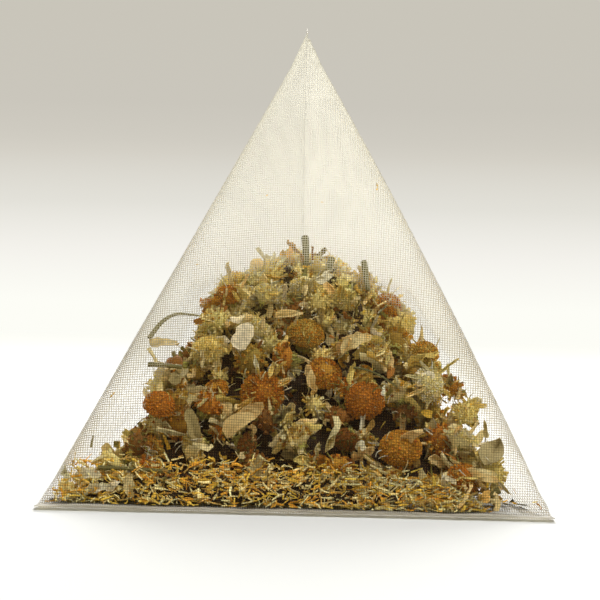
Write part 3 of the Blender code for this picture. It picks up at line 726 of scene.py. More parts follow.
def thread_mask(tree, along, pitch, share, waver):
    """1 on the threads laid side by side along one direction of the cloth, 0 between them."""
    moved = add_node(tree, "ShaderNodeMath", {"operation": "ADD"}, {0: along, 1: waver})
    scaled = add_node(tree, "ShaderNodeMath", {"operation": "DIVIDE", 1: pitch}, {0: moved})
    part = add_node(tree, "ShaderNodeMath", {"operation": "FRACT"}, {0: scaled})
    return add_node(tree, "ShaderNodeMath", {"operation": "LESS_THAN"}, {0: part, 1: share})


def gauze_material(sizes):
    """Nylon monofilament gauze, plain woven and heat sealed. The clear round threads pass on the
    light behind them and send back little, so they are ivory over light and dim over the filling.
    The real threads are 0.23 mm apart up the wall and 0.30 mm across it. They are drawn a
    little coarser here, so that the weave shows in the render."""
    material, tree, output = new_material("woven_nylon_gauze")
    fused, fold, dusty = (
        add_node(tree, "ShaderNodeAttribute", {"attribute_name": name}).outputs["Fac"]
        for name in ("fused", "fold", "dusty"))

    # The threads wander a little, look closer set on a fold and melt together in a seal.
    cloth = add_node(tree, "ShaderNodeUVMap", {"uv_map": "weave"})
    axes = add_node(tree, "ShaderNodeSeparateXYZ", links={0: cloth})
    wander = add_node(
        tree, "ShaderNodeTexNoise", {"Scale": 1 / (9 * MM), "Detail": 1.0}, {"Vector": cloth})
    waver = add_node(tree, "ShaderNodeMath", {"operation": "MULTIPLY", 1: 0.25 * MM}, {0: wander})
    wide = add_node(
        tree, "ShaderNodeMath", {"operation": "MULTIPLY_ADD", 1: 0.24, 2: sizes.thread_share},
        {0: fold})
    wider = add_node(
        tree, "ShaderNodeMath", {"operation": "MULTIPLY_ADD", 1: 0.42}, {0: fused, 2: wide})
    upright = thread_mask(tree, axes.outputs[0], sizes.upright_pitch, wider, waver)
    level = thread_mask(tree, axes.outputs[1], sizes.level_pitch, wider, waver)
    thread = add_node(tree, "ShaderNodeMath", {"operation": "MAXIMUM"}, {0: upright, 1: level})

    # Over the filling a single thread is nearly clear, and it shows most where two cross.
    cross = add_node(tree, "ShaderNodeMath", {"operation": "MULTIPLY"}, {0: upright, 1: level})
    veiled = add_node(
        tree, "ShaderNodeMath", {"operation": "MULTIPLY_ADD", 1: 0.34, 2: 0.44}, {0: cross})
    over = add_node(
        tree, "ShaderNodeMath", {"operation": "MULTIPLY_ADD", "use_clamp": True, 1: 2.0, 2: -1.0},
        {0: dusty})
    body = add_node(tree, "ShaderNodeMix", {"data_type": "FLOAT", 2: 1.0}, {0: over, 3: veiled})

    # A thread lets nearly all light through, and a seal also sends some back.
    # Over the filling and low on the bag the threads take a dim colour: a dusting and painted shade
    colour = add_node(
        tree, "ShaderNodeMix", {"data_type": "RGBA", 6: tuple(sizes.thread), 7: tuple(sizes.dusty)},
        {0: dusty})
    lit = add_node(tree, "ShaderNodeBsdfTranslucent", links={"Color": colour.outputs[2]})
    relief = add_node(
        tree, "ShaderNodeBump", {"Strength": 0.4, "Distance": 0.05 * MM}, {"Height": thread})
    # The seal's grey colour is partly painted shade
    shine = add_node(
        tree, "ShaderNodeBsdfPrincipled",
        {"Base Color": tuple(sizes.fused), "Roughness": 0.42, "IOR": 1.53}, {"Normal": relief})
    solid = add_node(
        tree, "ShaderNodeMath", {"operation": "MULTIPLY_ADD", 1: 0.42, 2: 0.035}, {0: fused})
    fibre = add_node(tree, "ShaderNodeMixShader", links={0: solid, 1: lit, 2: shine})

    # The wall has an outer and an inner face. A ray meets threads on the face that it comes to
    # from outside the nylon, so that the two faces count as one layer.
    behind = add_node(tree, "ShaderNodeNewGeometry").outputs["Backfacing"]
    outer = add_node(tree, "ShaderNodeMath", {"operation": "SUBTRACT", 0: 1.0}, {1: behind})
    shown = add_node(tree, "ShaderNodeMath", {"operation": "MULTIPLY"}, {0: thread, 1: body})
    seen = add_node(tree, "ShaderNodeMath", {"operation": "MULTIPLY"}, {0: shown, 1: outer})
    gap = add_node(tree, "ShaderNodeBsdfTransparent")
    cover = add_node(tree, "ShaderNodeMixShader", links={0: seen, 1: gap, 2: fibre})
    tree.links.new(cover.outputs[0], output.inputs["Surface"])
    return material


def plant_material(name, roughness, grain, streak, through):
    """Dried plant tissue: its tint comes from each copy. Grain is the size in mm of its mottling,
    and a streak over 1 flattens that, and one under 1 draws it out upwards; a papery tissue lets
    some light through."""
    material, tree, output = new_material(name)
    tint = add_node(tree, "ShaderNodeAttribute", {"attribute_name": "tint"}).outputs["Color"]
    place = add_node(tree, "ShaderNodeTexCoord").outputs["Object"]
    laid = add_node(tree, "ShaderNodeMapping", {"Scale": (1.0, 1.0, streak)}, {"Vector": place})
    mottle = add_node(
        tree, "ShaderNodeTexNoise", {"Scale": 1 / (grain * MM), "Detail": 3.0, "Roughness": 0.6},
        {"Vector": laid})
    ramp = add_node(
        tree, "ShaderNodeMapRange",
        {"From Min": 0.3, "From Max": 0.7, "To Min": 0.72, "To Max": 1.18}, {"Value": mottle})
    shade = add_node(tree, "ShaderNodeVectorMath", {"operation": "SCALE"}, {0: tint, "Scale": ramp})
    relief = add_node(
        tree, "ShaderNodeBump", {"Strength": 0.5, "Distance": 0.08 * MM}, {"Height": mottle})
    surface = add_node(
        tree, "ShaderNodeBsdfPrincipled",
        {"Roughness": roughness, "Specular IOR Level": 0.2, "Sheen Weight": 0.02},
        {"Base Color": shade, "Normal": relief})
    if through:
        glow = add_node(tree, "ShaderNodeBsdfTranslucent", links={"Color": shade})
        surface = add_node(tree, "ShaderNodeMixShader", {0: through}, {1: surface, 2: glow})
    tree.links.new(surface.outputs[0], output.inputs["Surface"])
    return material


FINISHES = []              # the materials of the filling, made once
FLORET, PETAL, SCALE, STALK, CRUMB = range(5)


def filling_materials():
    """The five tissues of the filling, in the order of their numbers."""
    if not FINISHES:
        FINISHES.extend([
            # Mealy tubes full of pollen: wholly matt, with a fine even mottle
            plant_material("dried_disc_florets", 0.85, 0.30, 1.0, 0.0),
            # Papery strips: a little smoother, with level streaks, and light shows through them
            plant_material("dried_ray_petals", 0.70, 0.45, 2.0, 0.22),
            # Leathery bracts: matt, with fine level streaks
            plant_material("dried_green_scales", 0.75, 0.40, 2.5, 0.0),
            # Woody stems: the smoothest, with long upright streaks
            plant_material("dried_stalks", 0.65, 0.25, 0.3, 0.0),
            # Broken bits of all of these: dull and evenly speckled
            plant_material("crumbled_flowers", 0.85, 0.35, 1.0, 0.0),
        ])
    return FINISHES


def finish_piece(piece, nodes):
    """Rides a piece on the body, with the nodes that it stands for."""
    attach(piece, "root")
    if nodes:
        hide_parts(*nodes)


# The gauze

def flat_point(turned_by, half_wide, half_tall, lift, share):
    """A point of the bag's cross-section on the flat of one wall: across and up."""
    rise = lift * SLOPE
    ripple = 4 * share * (1 - share) * BULGE * SLOPE
    if turned_by <= half_wide:
        part = turned_by / half_wide
        return Vector((part * half_wide, half_tall + rise + ripple * (1 - part * part)))
    if turned_by <= half_wide + 2 * half_tall:
        part = 1 - (turned_by - half_wide) / half_tall
        return Vector((half_wide + rise + ripple * (1 - part * part), part * half_tall))
    part = (SEAL_LENGTH - turned_by) / half_wide
    return Vector((part * half_wide, -half_tall))


def gauze_point(run, turn, sag):
    """A point of the outside of the bag, and how near it is to a fold. Run is along the tube and
    turn around it from the middle of the front wall."""
    share = run / FACE_HEIGHT
    half_wide = HALF_SEAL * (1 - share)
    half_tall = HALF_SEAL * share
    side = 1 if turn >= 0 else -1
    turned_by = abs(turn)
    folds = (half_wide, half_wide + 2 * half_tall)
    away = min(abs(turned_by - fold) for fold in folds)
    free = min(1.0, away / (5 * MM)) * min(1.0, 6 * share * (1 - share))
    drift = noise.noise(Vector((turn, run, 0)) / (13 * MM))
    drift += 0.4 * noise.noise(Vector((turn, run, 3 * MM)) / (5 * MM))
    standing = turned_by < folds[1]
    lift = sag * free * (drift + 0.2) if standing else 0.0
    soft = min(FOLD_SOFTNESS, NARROWEST_FOLD * half_wide, NARROWEST_FOLD * half_tall)
    for fold in folds:
        off = turned_by - fold
        if abs(off) < soft:
            before = flat_point(fold - soft, half_wide, half_tall, lift, share)
            corner = flat_point(fold, half_wide, half_tall, lift, share)
            after = flat_point(fold + soft, half_wide, half_tall, lift, share)
            part = (off + soft) / (2 * soft)
            across, tall = before.lerp(corner, part).lerp(corner.lerp(after, part), part)
            break
    else:
        across, tall = flat_point(turned_by, half_wide, half_tall, lift, share)
    place = SHIFT + AXIS * AXIS_LENGTH * share + Vector((side * across, 0, 0)) + RISE * tall
    return place, max(0.0, 1 - away / (2.6 * MM)) ** 1.5


def dust_and_shade_at(place, on_front):
    """How far the threads here are darkened by a dusting and by painted shade: a little over the lower
    bag, and fully over the filling that lies behind them.
    """
    up = place.z / TOP.z
    half = HALF_SEAL * (1 - up)
    if up > 0.6:           # well over the heap
        return 0.0
    if on_front:
        limit = outline_height(HEAP_OUTLINE, 0.5 + place.x / (2 * half))
    else:
        limit = outline_height(SIDE_OUTLINE, 1 - abs(place.x) / half)
    # Over the lower bag, fading out upwards: a dusting and painted shade
    low_dust_and_shade = DUST_AND_SHADE * min(1.0, max(0.0, (DUST_AND_SHADE_TOP - up) / DUST_AND_SHADE_FADE))
    return max(low_dust_and_shade, min(1.0, (limit - up) / 0.03 + 0.5))


def make_gauze_sheet(sizes):
    """The gauze tube laid round the tetrahedron, with the flat lip past each seal."""
    mesh = bmesh.new()
    weave = mesh.loops.layers.uv.new("weave")
    fused = mesh.verts.layers.float.new("fused")
    folded = mesh.verts.layers.float.new("fold")
    dusty = mesh.verts.layers.float.new("dusty")
    columns, rows, lip_rows = 176, 100, 3
    start = 0.0035 * FACE_HEIGHT       # of the tube at each end, where its walls come together
    rng = random.Random(11)
    ragged = [rng.uniform(-0.10, 0.12) * MM for _ in range(columns + 1)]
    grid = []
    spots = {}
    for row in range(-lip_rows, rows + lip_rows + 1):
        line = []
        for column in range(columns):
            turn = -SEAL_LENGTH + 2 * SEAL_LENGTH * column / columns
            run = min(max(row / rows, 0), 1) * (FACE_HEIGHT - 2 * start) + start
            past = max(-row, row - rows, 0) / lip_rows
            place, fold = gauze_point(run, turn, sizes.sag)
            if past:
                reach = past * (LIP_WIDTH + ragged[column] * past)
                wave = 0.18 * MM * math.sin(turn * 210) + 0.1 * MM * math.sin(turn * 530 + 1)
                if row < 0:
                    place.y -= reach
                    layer = 0.14 * MM if abs(turn) < HALF_SEAL else 0
                    place.z = 0.16 * MM + place.z * (1 - past) + past * (0.35 * MM + wave) + layer
                else:
                    place += AXIS * reach
            level = min(max(place.z / TOP.z, 0.0), 1.0)
            beside = min(max(place.x / (HALF_SEAL * (1.001 - level)), 0.0), 1.0)
            place.x += RIGHT_SWELL * math.sin(math.pi * level) ** 0.6 * beside ** 2
            vert = mesh.verts.new(place)
            vert[fused] = 1.0 if past else 0.0
            vert[folded] = fold
            on_front = abs(turn) < HALF_SEAL * (1 - run / FACE_HEIGHT)
            vert[dusty] = 0.0 if past else dust_and_shade_at(place, on_front)
            spots[vert] = (turn, run + (past * LIP_WIDTH if row > 0 else -past * LIP_WIDTH))
            line.append(vert)
        grid.append(line)
    for low, high in zip(grid, grid[1:]):
        for k in range(columns):
            n = (k + 1) % columns
            face = mesh.faces.new((low[k], low[n], high[n], high[k]))
            for loop in face.loops:
                turn, run = spots[loop.vert]
                if n == 0 and loop.vert in (low[n], high[n]):
                    turn += 2 * SEAL_LENGTH
                loop[weave].uv = (turn, run)
    bmesh.ops.recalc_face_normals(mesh, faces=mesh.faces)
    data = bpy.data.meshes.new("gauze_cloth")
    mesh.to_mesh(data)
    mesh.free()
    return link_object("gauze_cloth", data)


def make_gauze(sizes):
    """The gauze with its thickness, outside the filling."""
    piece = make_gauze_sheet(sizes)
    select_alone(piece)
    wall = piece.modifiers.new("wall", "SOLIDIFY")
    wall.thickness = sizes.wall
    wall.offset = -1
    wall.use_even_offset = False
    bpy.ops.object.modifier_apply(modifier=wall.name)
    points = np.empty(len(piece.data.vertices) * 3)
    piece.data.vertices.foreach_get("co", points)
    points = points.reshape(-1, 3)
    points[:, 2] = np.maximum(points[:, 2], 0.0)
    piece.data.vertices.foreach_set("co", points.ravel())
    piece.data.shade_smooth()
    piece.data.materials.append(gauze_material(sizes))
    finish_piece(piece, ["gauze_bag"])


# The flower heads

def head_frame(row, on_gauze):
    """Where a head's middle is, the way it faces, and its radius."""
    wall, up, over, radius, tilt, way, _, _ = row
    radius *= MM
    across, upwards, out, _ = wall_axes(wall)
    tilt = math.radians(tilt)
    facing = out * math.cos(tilt) + along_wall(across, upwards, way) * math.sin(tilt)
    ends = [((high - HEAD_MIDDLE) * math.cos(tilt), wide * abs(math.sin(tilt)))
            for wide, high in HEAD_PROFILE]
    if on_gauze:
        depth = ON_GAUZE_DEPTH + radius * max(rise + reach for rise, reach in ends)
    else:
        depth = HEAD_LAYER - SEAT + radius * min(rise - reach for rise, reach in ends)
    return wall_point(wall, up, over, depth), facing, radius


def dome_point(share, angle, sunk):
    """A point of a head's dome and its normal, in disc radii from the head's middle. Share goes
    from the top of the dome to its rim."""
    polar = share * 1.75
    wide, high = 0.93 * math.sin(polar), 0.80 * math.cos(polar)
    dip = sunk * math.exp(-(share / 0.38) ** 2)
    place = Vector((wide * math.cos(angle), wide * math.sin(angle), high - dip))
    slope = dip * 2 * share / 0.38 ** 2 * 1.2
    normal = Vector((wide / 0.74 * math.cos(angle), wide / 0.74 * math.sin(angle), high / 0.55))
    normal -= round_head(angle) * slope
    return place, normal.normalized()


def add_rays(batch, rng, head, turn, radius, tints, count, first):
    """Lays soft closed rays over each other down a dome, from where they begin to its rim."""
    for k in range(count):
        share = first + (0.98 - first) * (k + rng.random()) / count
        angle = k * GOLDEN_ANGLE + rng.uniform(-0.3, 0.3)
        place, normal = dome_point(share, angle, 0.0)
        out = round_head(angle)
        down = (out - normal * out.dot(normal)) * 0.5 + Vector((0, 0, -1.0 - share))
        way = down.normalized() + normal * rng.uniform(-0.10, 0.16) + jitter(rng, 0.2)
        length = radius * rng.uniform(0.55, 1.1)
        wide = radius * rng.uniform(0.12, 0.24)
        tint = tints[2] if rng.random() < 0.08 else rng.choice(tints[:2])
        matrix = turned(head @ (place * 0.97), turn @ way, turn @ normal, (wide, length, length))
        batch.add(rng.choice(PATTERNS["ray"]), matrix, varied(tint, rng, 0.2), PETAL)


def add_florets(batch, rng, head, turn, radius, look, colours, floret_width, crowding):
    """Covers a head's flesh with closed rays and disc florets."""
    shades, sunk, _, _, _, rays, first_ray, slim, long = LOOKS[look]
    pale = look in PALE_LOOKS
    core = head @ Matrix.Translation((0, 0, -0.02))
    core = core @ Matrix.Diagonal((0.88, 0.88, 0.74 - 0.5 * sunk, 1))
    # The flesh is drawn at half the florets' colour, four fifths on pale heads: painted shade in the
    # gaps between the florets
    flesh = [(0.8 if pale else 0.5) * part for part in colours[shades[0]]]
    batch.add(PATTERNS["core"][0], core, varied(flesh, rng), FLORET)

    floret_width *= slim
    ray_tints = [colours[name] for name in ("petal_cream", "floret_pale", "petal_white")]
    add_rays(batch, rng, head, turn, radius, ray_tints, int(rays * crowding), first_ray)
    count = int(3.6 * (radius / floret_width) ** 2 * crowding)
    for k in range(count):
        share = math.sqrt((k + 0.5) / count)
        angle = k * GOLDEN_ANGLE
        place, normal = dome_point(share, angle + rng.uniform(-0.03, 0.03), sunk)
        if rng.random() < 0.05:
            continue
        open_share = min(1.0, share * 1.2)
        wide = floret_width * rng.uniform(0.85, 1.2)
        tall = floret_width / slim * long * (0.9 + 0.9 * open_share) * rng.uniform(0.7, 1.25)
        lean = normal + jitter(rng, 0.22)
        # A few florets take the brown colour at random; in a deeply sunk head those round its middle do
        # too, as painted shade in its hollow
        dark = rng.random() < 0.14 or (share < 0.3 and sunk > 0.2)
        tint = colours[shades[2]] if dark else colours[rng.choice(shades[:2])]
        matrix = pointed(head @ (place * 0.94), turn @ lean, (wide, wide, tall), any_spin(rng))
        pattern = rng.choice(PATTERNS["floret"])
        # Florets are painted darker towards their feet, as shade deep in the head, less so on pale
        # heads
        batch.add(pattern, matrix, varied(tint, rng, 0.2), FLORET, root=0.8 if pale else 0.5)


def add_scales(batch, rng, head, turn, radius, colours, count):
    """Lays green scales in two rings round a head's cup."""
    for k in range(count):
        ring = k % 2
        out = round_head(2 * math.pi * (k + rng.uniform(-0.3, 0.3)) / count)
        low = out * (0.30 + 0.30 * ring) + Vector((0, 0, -0.72 + 0.22 * ring))
        high = out * (0.92 + 0.06 * ring) + Vector((0, 0, -0.12 + 0.12 * ring))
        way = high - low
        length = way.length * radius * rng.uniform(0.95, 1.2)
        size = (radius * rng.uniform(0.36, 0.50), length, length)
        tint = colours[rng.choice(("scale_green", "scale_olive"))]
        matrix = turned(head @ low, turn @ way, turn @ (out - Vector((0, 0, 0.4))), size)
        batch.add(PATTERNS["scale"][0], matrix, varied(tint, rng), SCALE)


def add_petals(batch, rng, head, turn, look, colours, count):
    """Hangs dried ray petals on a head's rim."""
    kinds = ("petal_curved", "petal_folded", "petal_hooked", "petal_broad", "petal_folded")
    tints = ("petal_cream", "petal_tan", "petal_white", "petal_yellow", "petal_cream")
    for _ in range(count):
        out = round_head(rng.uniform(0, 2 * math.pi))
        rise = rng.uniform(-1.1, 0.5) if look in PALE_LOOKS else rng.uniform(-1.4, 0.0)
        way = out * rng.uniform(0.3, 1.0) + Vector((0, 0, rise))
        base = head @ (out * 0.86 + Vector((0, 0, rng.uniform(-0.15, 0.05))))
        length = rng.uniform(1.4, 3.0) * MM
        wide = rng.uniform(0.5, 1.0) * MM
        tint = colours[rng.choice(tints)]
        pattern = rng.choice(PATTERNS[rng.choice(kinds)])
        matrix = turned(base, turn @ way, turn @ Vector((0, 0, 1)), (wide, length, length))
        batch.add(pattern, matrix, varied(tint, rng), PETAL)


def add_wisps(batch, rng, head, turn, colours, count, sunk):
    """Stands shrivelled wisps on a head's dome."""
    tints = ("petal_cream", "petal_yellow", "petal_white", "scale_green")
    for _ in range(count):
        share = rng.uniform(0.15, 1.15)
        place, normal = dome_point(share, any_spin(rng), sunk)
        way = normal + Vector((0, 0, 0.5)) + jitter(rng, 0.7)
        length = rng.uniform(0.7, 1.9) * MM
        thick = rng.uniform(1.4, 2.6) * MM
        tint = colours[rng.choice(tints)]
        size = (thick, thick * 0.7, length)
        matrix = pointed(head @ (place * 0.92), turn @ way, size, any_spin(rng))
        batch.add(rng.choice(PATTERNS["wisp"]), matrix, varied(tint, rng), PETAL)


def add_head(batch, rng, place, stem, look, colours, floret_width, crowding=1.0):
    """Adds one flower head: flesh, florets, cup scales, ray petals, shrivelled wisps and stem."""
    middle, facing, radius = place
    _, sunk, petals, wisps, scales, _, _, _, _ = LOOKS[look]
    stand = facing.to_track_quat("Z", "Y").to_matrix().to_4x4()
    stand = stand @ Matrix.Rotation(any_spin(rng), 4, "Z")
    head = Matrix.Translation(middle) @ stand @ Matrix.Diagonal((radius, radius, radius, 1))
    turn = stand.to_3x3()
    add_florets(batch, rng, head, turn, radius, look, colours, floret_width, crowding)
    add_scales(batch, rng, head, turn, radius, colours, scales)
    add_petals(batch, rng, head, turn, look, colours, petals)
    add_wisps(batch, rng, head, turn, colours, wisps, sunk)

    length = stem * MM or rng.uniform(0.5, 1.1) * MM
    foot = head @ Vector((0, 0, -0.62))
    wide = 3.4 * MM
    matrix = pointed(foot, -facing, (wide, wide, length + 0.2 * MM), any_spin(rng))
    batch.add(PATTERNS["sliver"][1], matrix, varied(colours["stalk"], rng), STALK)
    if stem:
        knob = foot - facing * (length + 0.1 * MM)
        matrix = pointed(knob, facing, (0.9 * MM, 0.9 * MM, 0.8 * MM), 0)
        batch.add(PATTERNS["grain"][0], matrix, varied(colours["stalk"], rng), STALK)


def make_head(number, row, colours, floret_width):
    """The flower head that stands for one of the frame's nodes."""
    name = f"flower_head_{number:02d}"
    rng = random.Random(100 + number)
    batch = Gathering()
    if row[0] != "front":
        floret_width *= 1.25
    place = head_frame(row, number > HEADS_ON_MOUND)
    add_head(batch, rng, place, *row[6:], colours, floret_width)
    finish_piece(batch.build(f"dressed_{name}"), [name])


def in_hollow(place, radius):
    """Whether a thing of this radius would stand in a deep hollow behind the front wall."""
    return any((wall_point("front", up, over, HOLLOW_DEPTH) - place).length < radius + wide * MM
               for up, over, wide in HOLLOWS)


def make_small_heads(wall, settings, homes):
    """Smaller and broken heads in the hollows between the others, on the mound behind one wall."""
    rng = random.Random(700 + len(homes))
    batch = Gathering()
    looks = ("woolly", "ragged", "cup", "woolly", "ochre", "russet", "woolly", "hollow")
    tries, coarse, gap = SMALL_HEADS[wall]
    in_front = wall == "front"
    _, _, out, _ = wall_axes(wall)
    for _ in range(tries):
        over = rng.uniform(0.06, 0.94)
        limit = outline_height(outline_of(wall), over)
        lowest = 0.10 if in_front and 0.18 < over < 0.75 else 0.05
        up = rng.uniform(lowest, max(lowest + 0.01, limit - 0.03))
        small = in_front and rng.random() < 0.5
        radii, depths = ((1.0, 1.4), (4.0, 5.4)) if small else ((1.4, 2.1), (2.9, 4.8))
        radius = rng.uniform(*radii) * MM
        middle = wall_point(wall, up, over, rng.uniform(*depths) * MM)
        if in_front and in_hollow(middle, radius):
            continue
        facing = (out + jitter(rng, 0.9)).normalized()
        look = rng.choice(looks)
        add_small_head(batch, rng, (middle, facing, radius), look, settings, homes, coarse, gap)
    finish_piece(batch.build(f"small_heads_{wall}"), [])


MOUND = []                 # the mound's surface, for looking up places on it, read once


def mound_below(x, y):
    """The point of the mound under a place given in mm, and its normal, or nothing for both."""
    if not MOUND:
        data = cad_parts["crumb_heap"].data
        faces = [face.vertices[:] for face in data.polygons]
        MOUND.append(BVHTree.FromPolygons([vert.co for vert in data.vertices], faces))
    spot, normal, _, _ = MOUND[0].ray_cast(Vector((x * MM, y * MM, 60 * MM)), Vector((0, 0, -1)))
    return spot, normal


def make_top_heads(settings, homes):
    """Pale heads half sunk in the top of the mound."""
    rng = random.Random(790)
    batch = Gathering()
    for _ in range(900):
        spot, normal = mound_below(rng.uniform(-16, 16), rng.uniform(-32, 10))
        if not spot or spot.z < MOUND_SHOULDER:
            continue
        radius = rng.uniform(1.4, 1.9) * MM
        middle = spot + normal * radius * rng.uniform(-0.7, 0.0)
        if depth_in_bag(middle) < radius + 0.9 * MM:
            continue
        facing = normal + Vector((rng.uniform(-0.5, 0.5), rng.uniform(-0.9, 0.3), 0))
        look = rng.choice(("cream", "woolly", "cream", "ragged", "cream"))
        place = (middle, facing.normalized(), radius)
        add_small_head(batch, rng, place, look, settings, homes, coarse=1.6, gap=0.64)
    finish_piece(batch.build("small_heads_top"), [])


def add_small_head(batch, rng, place, look, settings, homes, coarse, gap):
    """Adds a plainer head, unless others are in the way, and notes where it is."""
    middle, _, radius = place
    if any((middle - other).length < gap * (radius + reach) for other, _, reach in homes):
        return
    homes.append(place)
    width = settings.floret_width * coarse
    add_head(batch, rng, place, 0, look, palette(settings), width, crowding=0.62)


# Petals, leaf, stalks and grains

def laid_petal(batch, row, colours, rng):
    """Lays one petal behind the front wall."""
    up, over, depth, length, width, turn, kind, tint = row
    across, upwards, out, _ = wall_axes("front")
    forward = along_wall(across, upwards, turn)
    normal = out + across * rng.uniform(-0.35, 0.35) + upwards * rng.uniform(-0.35, 0.35)
    middle = wall_point("front", up, over, depth * MM + 0.3 * MM)
    start = middle - forward * length * MM / 2
    matrix = turned(start, forward, normal, (width * MM, length * MM, length * MM))
    batch.add(rng.choice(PATTERNS[kind]), matrix, varied(colours[tint], rng, 0.08), PETAL)


def stalk_mesh(batch, points, thick, thin, colours, rng):
    """A stalk through the given points: a curve with a round section, turned into a mesh."""
    begin()
    bpy.ops.curve.primitive_bezier_curve_add()
    curve = bpy.context.object
    path = curve.data
    path.splines.clear()
    line = path.splines.new("NURBS")
    line.points.add(len(points) - 1)
    line.order_u = min(4, len(points))
    line.use_endpoint_u = True
    for k, (point, (up, over, depth)) in enumerate(zip(line.points, points)):
        place = wall_point("front", up, over, depth * MM)
        point.co = (*place, 1)
        point.radius = thick + (thin - thick) * k / (len(points) - 1)
    path.dimensions = "3D"
    path.resolution_u = 4
    path.bevel_depth = MM
    path.bevel_resolution = 1
    path.use_fill_caps = True
    bpy.ops.object.convert(target="MESH")
    tube = bpy.context.object
    bpy.ops.object.mode_set(mode="EDIT")
    bpy.ops.mesh.select_all(action="SELECT")
    bpy.ops.mesh.remove_doubles(threshold=1e-6)
    batch.add(keep_pattern(tube), Matrix.Identity(4), varied(colours["stalk"], rng), STALK)


def make_loose_petals(colours):
    """The petals that the frame has as its own nodes, and the pointed leaf."""
    for number, row in enumerate(PETALS, start=1):
        rng = random.Random(300 + number)
        batch = Gathering()
        laid_petal(batch, row, colours, rng)
        piece = batch.build(f"dressed_petal_{number:02d}")
        finish_piece(piece, [f"loose_petal_{number:02d}"])
    rng = random.Random(350)
    batch = Gathering()
    up, over, depth, length, width, turn = LEAF
    across, upwards, out, _ = wall_axes("front")
    forward = along_wall(across, upwards, turn)
    start = wall_point("front", up, over, (depth + 0.2) * MM) - forward * length * MM / 2
    matrix = turned(start, forward, out, (width * MM, length * MM, length * MM))
    blade = model_petal((0.5, 0.9, 1.0, 0.95, 0.7, 0.35, 0.05), 0.25, 0.22, 0.1)
    batch.add(blade, matrix, varied(colours["leaf"], rng), SCALE)
    finish_piece(batch.build("dressed_leaf"), ["leaf_bract"])


def make_sprigs(colours):
    """Stalks, more petals and the grains that cling to the gauze."""
    rng = random.Random(400)
    batch = Gathering()
    for row in SINGLE_PETALS:
        laid_petal(batch, row, colours, rng)
    finish_piece(batch.build("single_petals"), [])
    batch = Gathering()
    for points, thick, thin in STALKS:
        stalk_mesh(batch, points, thick, thin, colours, rng)
    finish_piece(batch.build("broken_stalks"), [])
    batch = Gathering()
    across, upwards, out, _ = wall_axes("front")
    for up, over, length, turn, tint in GRAINS:
        forward = along_wall(across, upwards, turn)
        place = wall_point("front", up, over, 0.25 * MM)
        matrix = turned(place, forward.cross(out), out, (length * MM, 0.36 * MM, 0.3 * MM))
        batch.add(PATTERNS["grain"][0], matrix, varied(colours[tint], rng), CRUMB)
    finish_piece(batch.build("clinging_grains"), [])


# The crumbs

def outline_of(wall):
    """Where the heap ends behind a wall; the left wall runs from its rear fold to its front one."""
    if wall == "front":
        return HEAP_OUTLINE
    return SIDE_OUTLINE if wall == "right" else [(1 - over, up) for over, up in reversed(SIDE_OUTLINE)]


def outline_height(outline, over):
    """How far up a wall the heap reaches, as a share, at a share across it."""
    for (a, low), (b, high) in zip(outline, outline[1:]):
        if over <= b:
            return low + (high - low) * (max(over, 0) - a) / (b - a)
    return outline[-1][1]


def make_crumb_core():
    """The mound under the flower heads: the frame's own heap, merged, divided and roughened."""
    core = link_object("crumb_core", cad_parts["crumb_heap"].data.copy())
    select_alone(core)
    bpy.ops.object.mode_set(mode="EDIT")
    bpy.ops.mesh.select_all(action="SELECT")
    bpy.ops.mesh.remove_doubles(threshold=1e-6)
    bpy.ops.mesh.subdivide(number_cuts=2)
    bpy.ops.mesh.subdivide(number_cuts=1, fractal=0.0)
    bpy.ops.object.mode_set(mode="OBJECT")
    normals = [vert.normal.copy() for vert in core.data.vertices]
    for vert, normal in zip(core.data.vertices, normals):
        rough = noise.noise(vert.co / (1.1 * MM)) + 0.6 * noise.noise(vert.co / (0.5 * MM))
        vert.co += normal * rough * 0.45 * MM
    return keep_pattern(core)


def crumb_by_wall(rng, wall):
    """A place in the bed of crumbs close behind a wall, or nothing."""
    over = rng.uniform(0.01, 0.88) if wall == "front" else rng.uniform(0.04, 0.96)
    rim = BED_HEIGHT - max(0.0, over - BED_FALLS_FROM) * BED_FALL
    up = (0.5 + (rim + rng.uniform(-0.6, 0.6)) * rng.random() ** 1.25) * MM / TOP.z
    place = wall_point(wall, up, over, rng.uniform(0.5, 3.4) * MM)
    return None if wall == "right" and over < 0.25 else place


def crumb_on_mound(rng):
    """A place on the mound, or nothing."""
    spot, out = mound_below(rng.uniform(-24, 24), rng.uniform(-34, 26))
    if not spot or spot.z < 4 * MM:
        return None
    return spot + out * rng.uniform(0.0, 0.5) * MM


def crumb_on_floor(rng, in_corner):
    """A place over the bottom wall, or in its right front corner, or nothing."""
    share, spot = rng.random() ** 0.5, rng.random()
    if in_corner:
        share, spot = rng.uniform(0.80, 1.0), rng.uniform(0.62, 0.88)
    place = LEFT.lerp(RIGHT, spot).lerp(BACK, 1 - share)
    if place.x > BED_END:
        return None
    return place + Vector((0, 0, rng.uniform(0.5, 2.9) * MM))


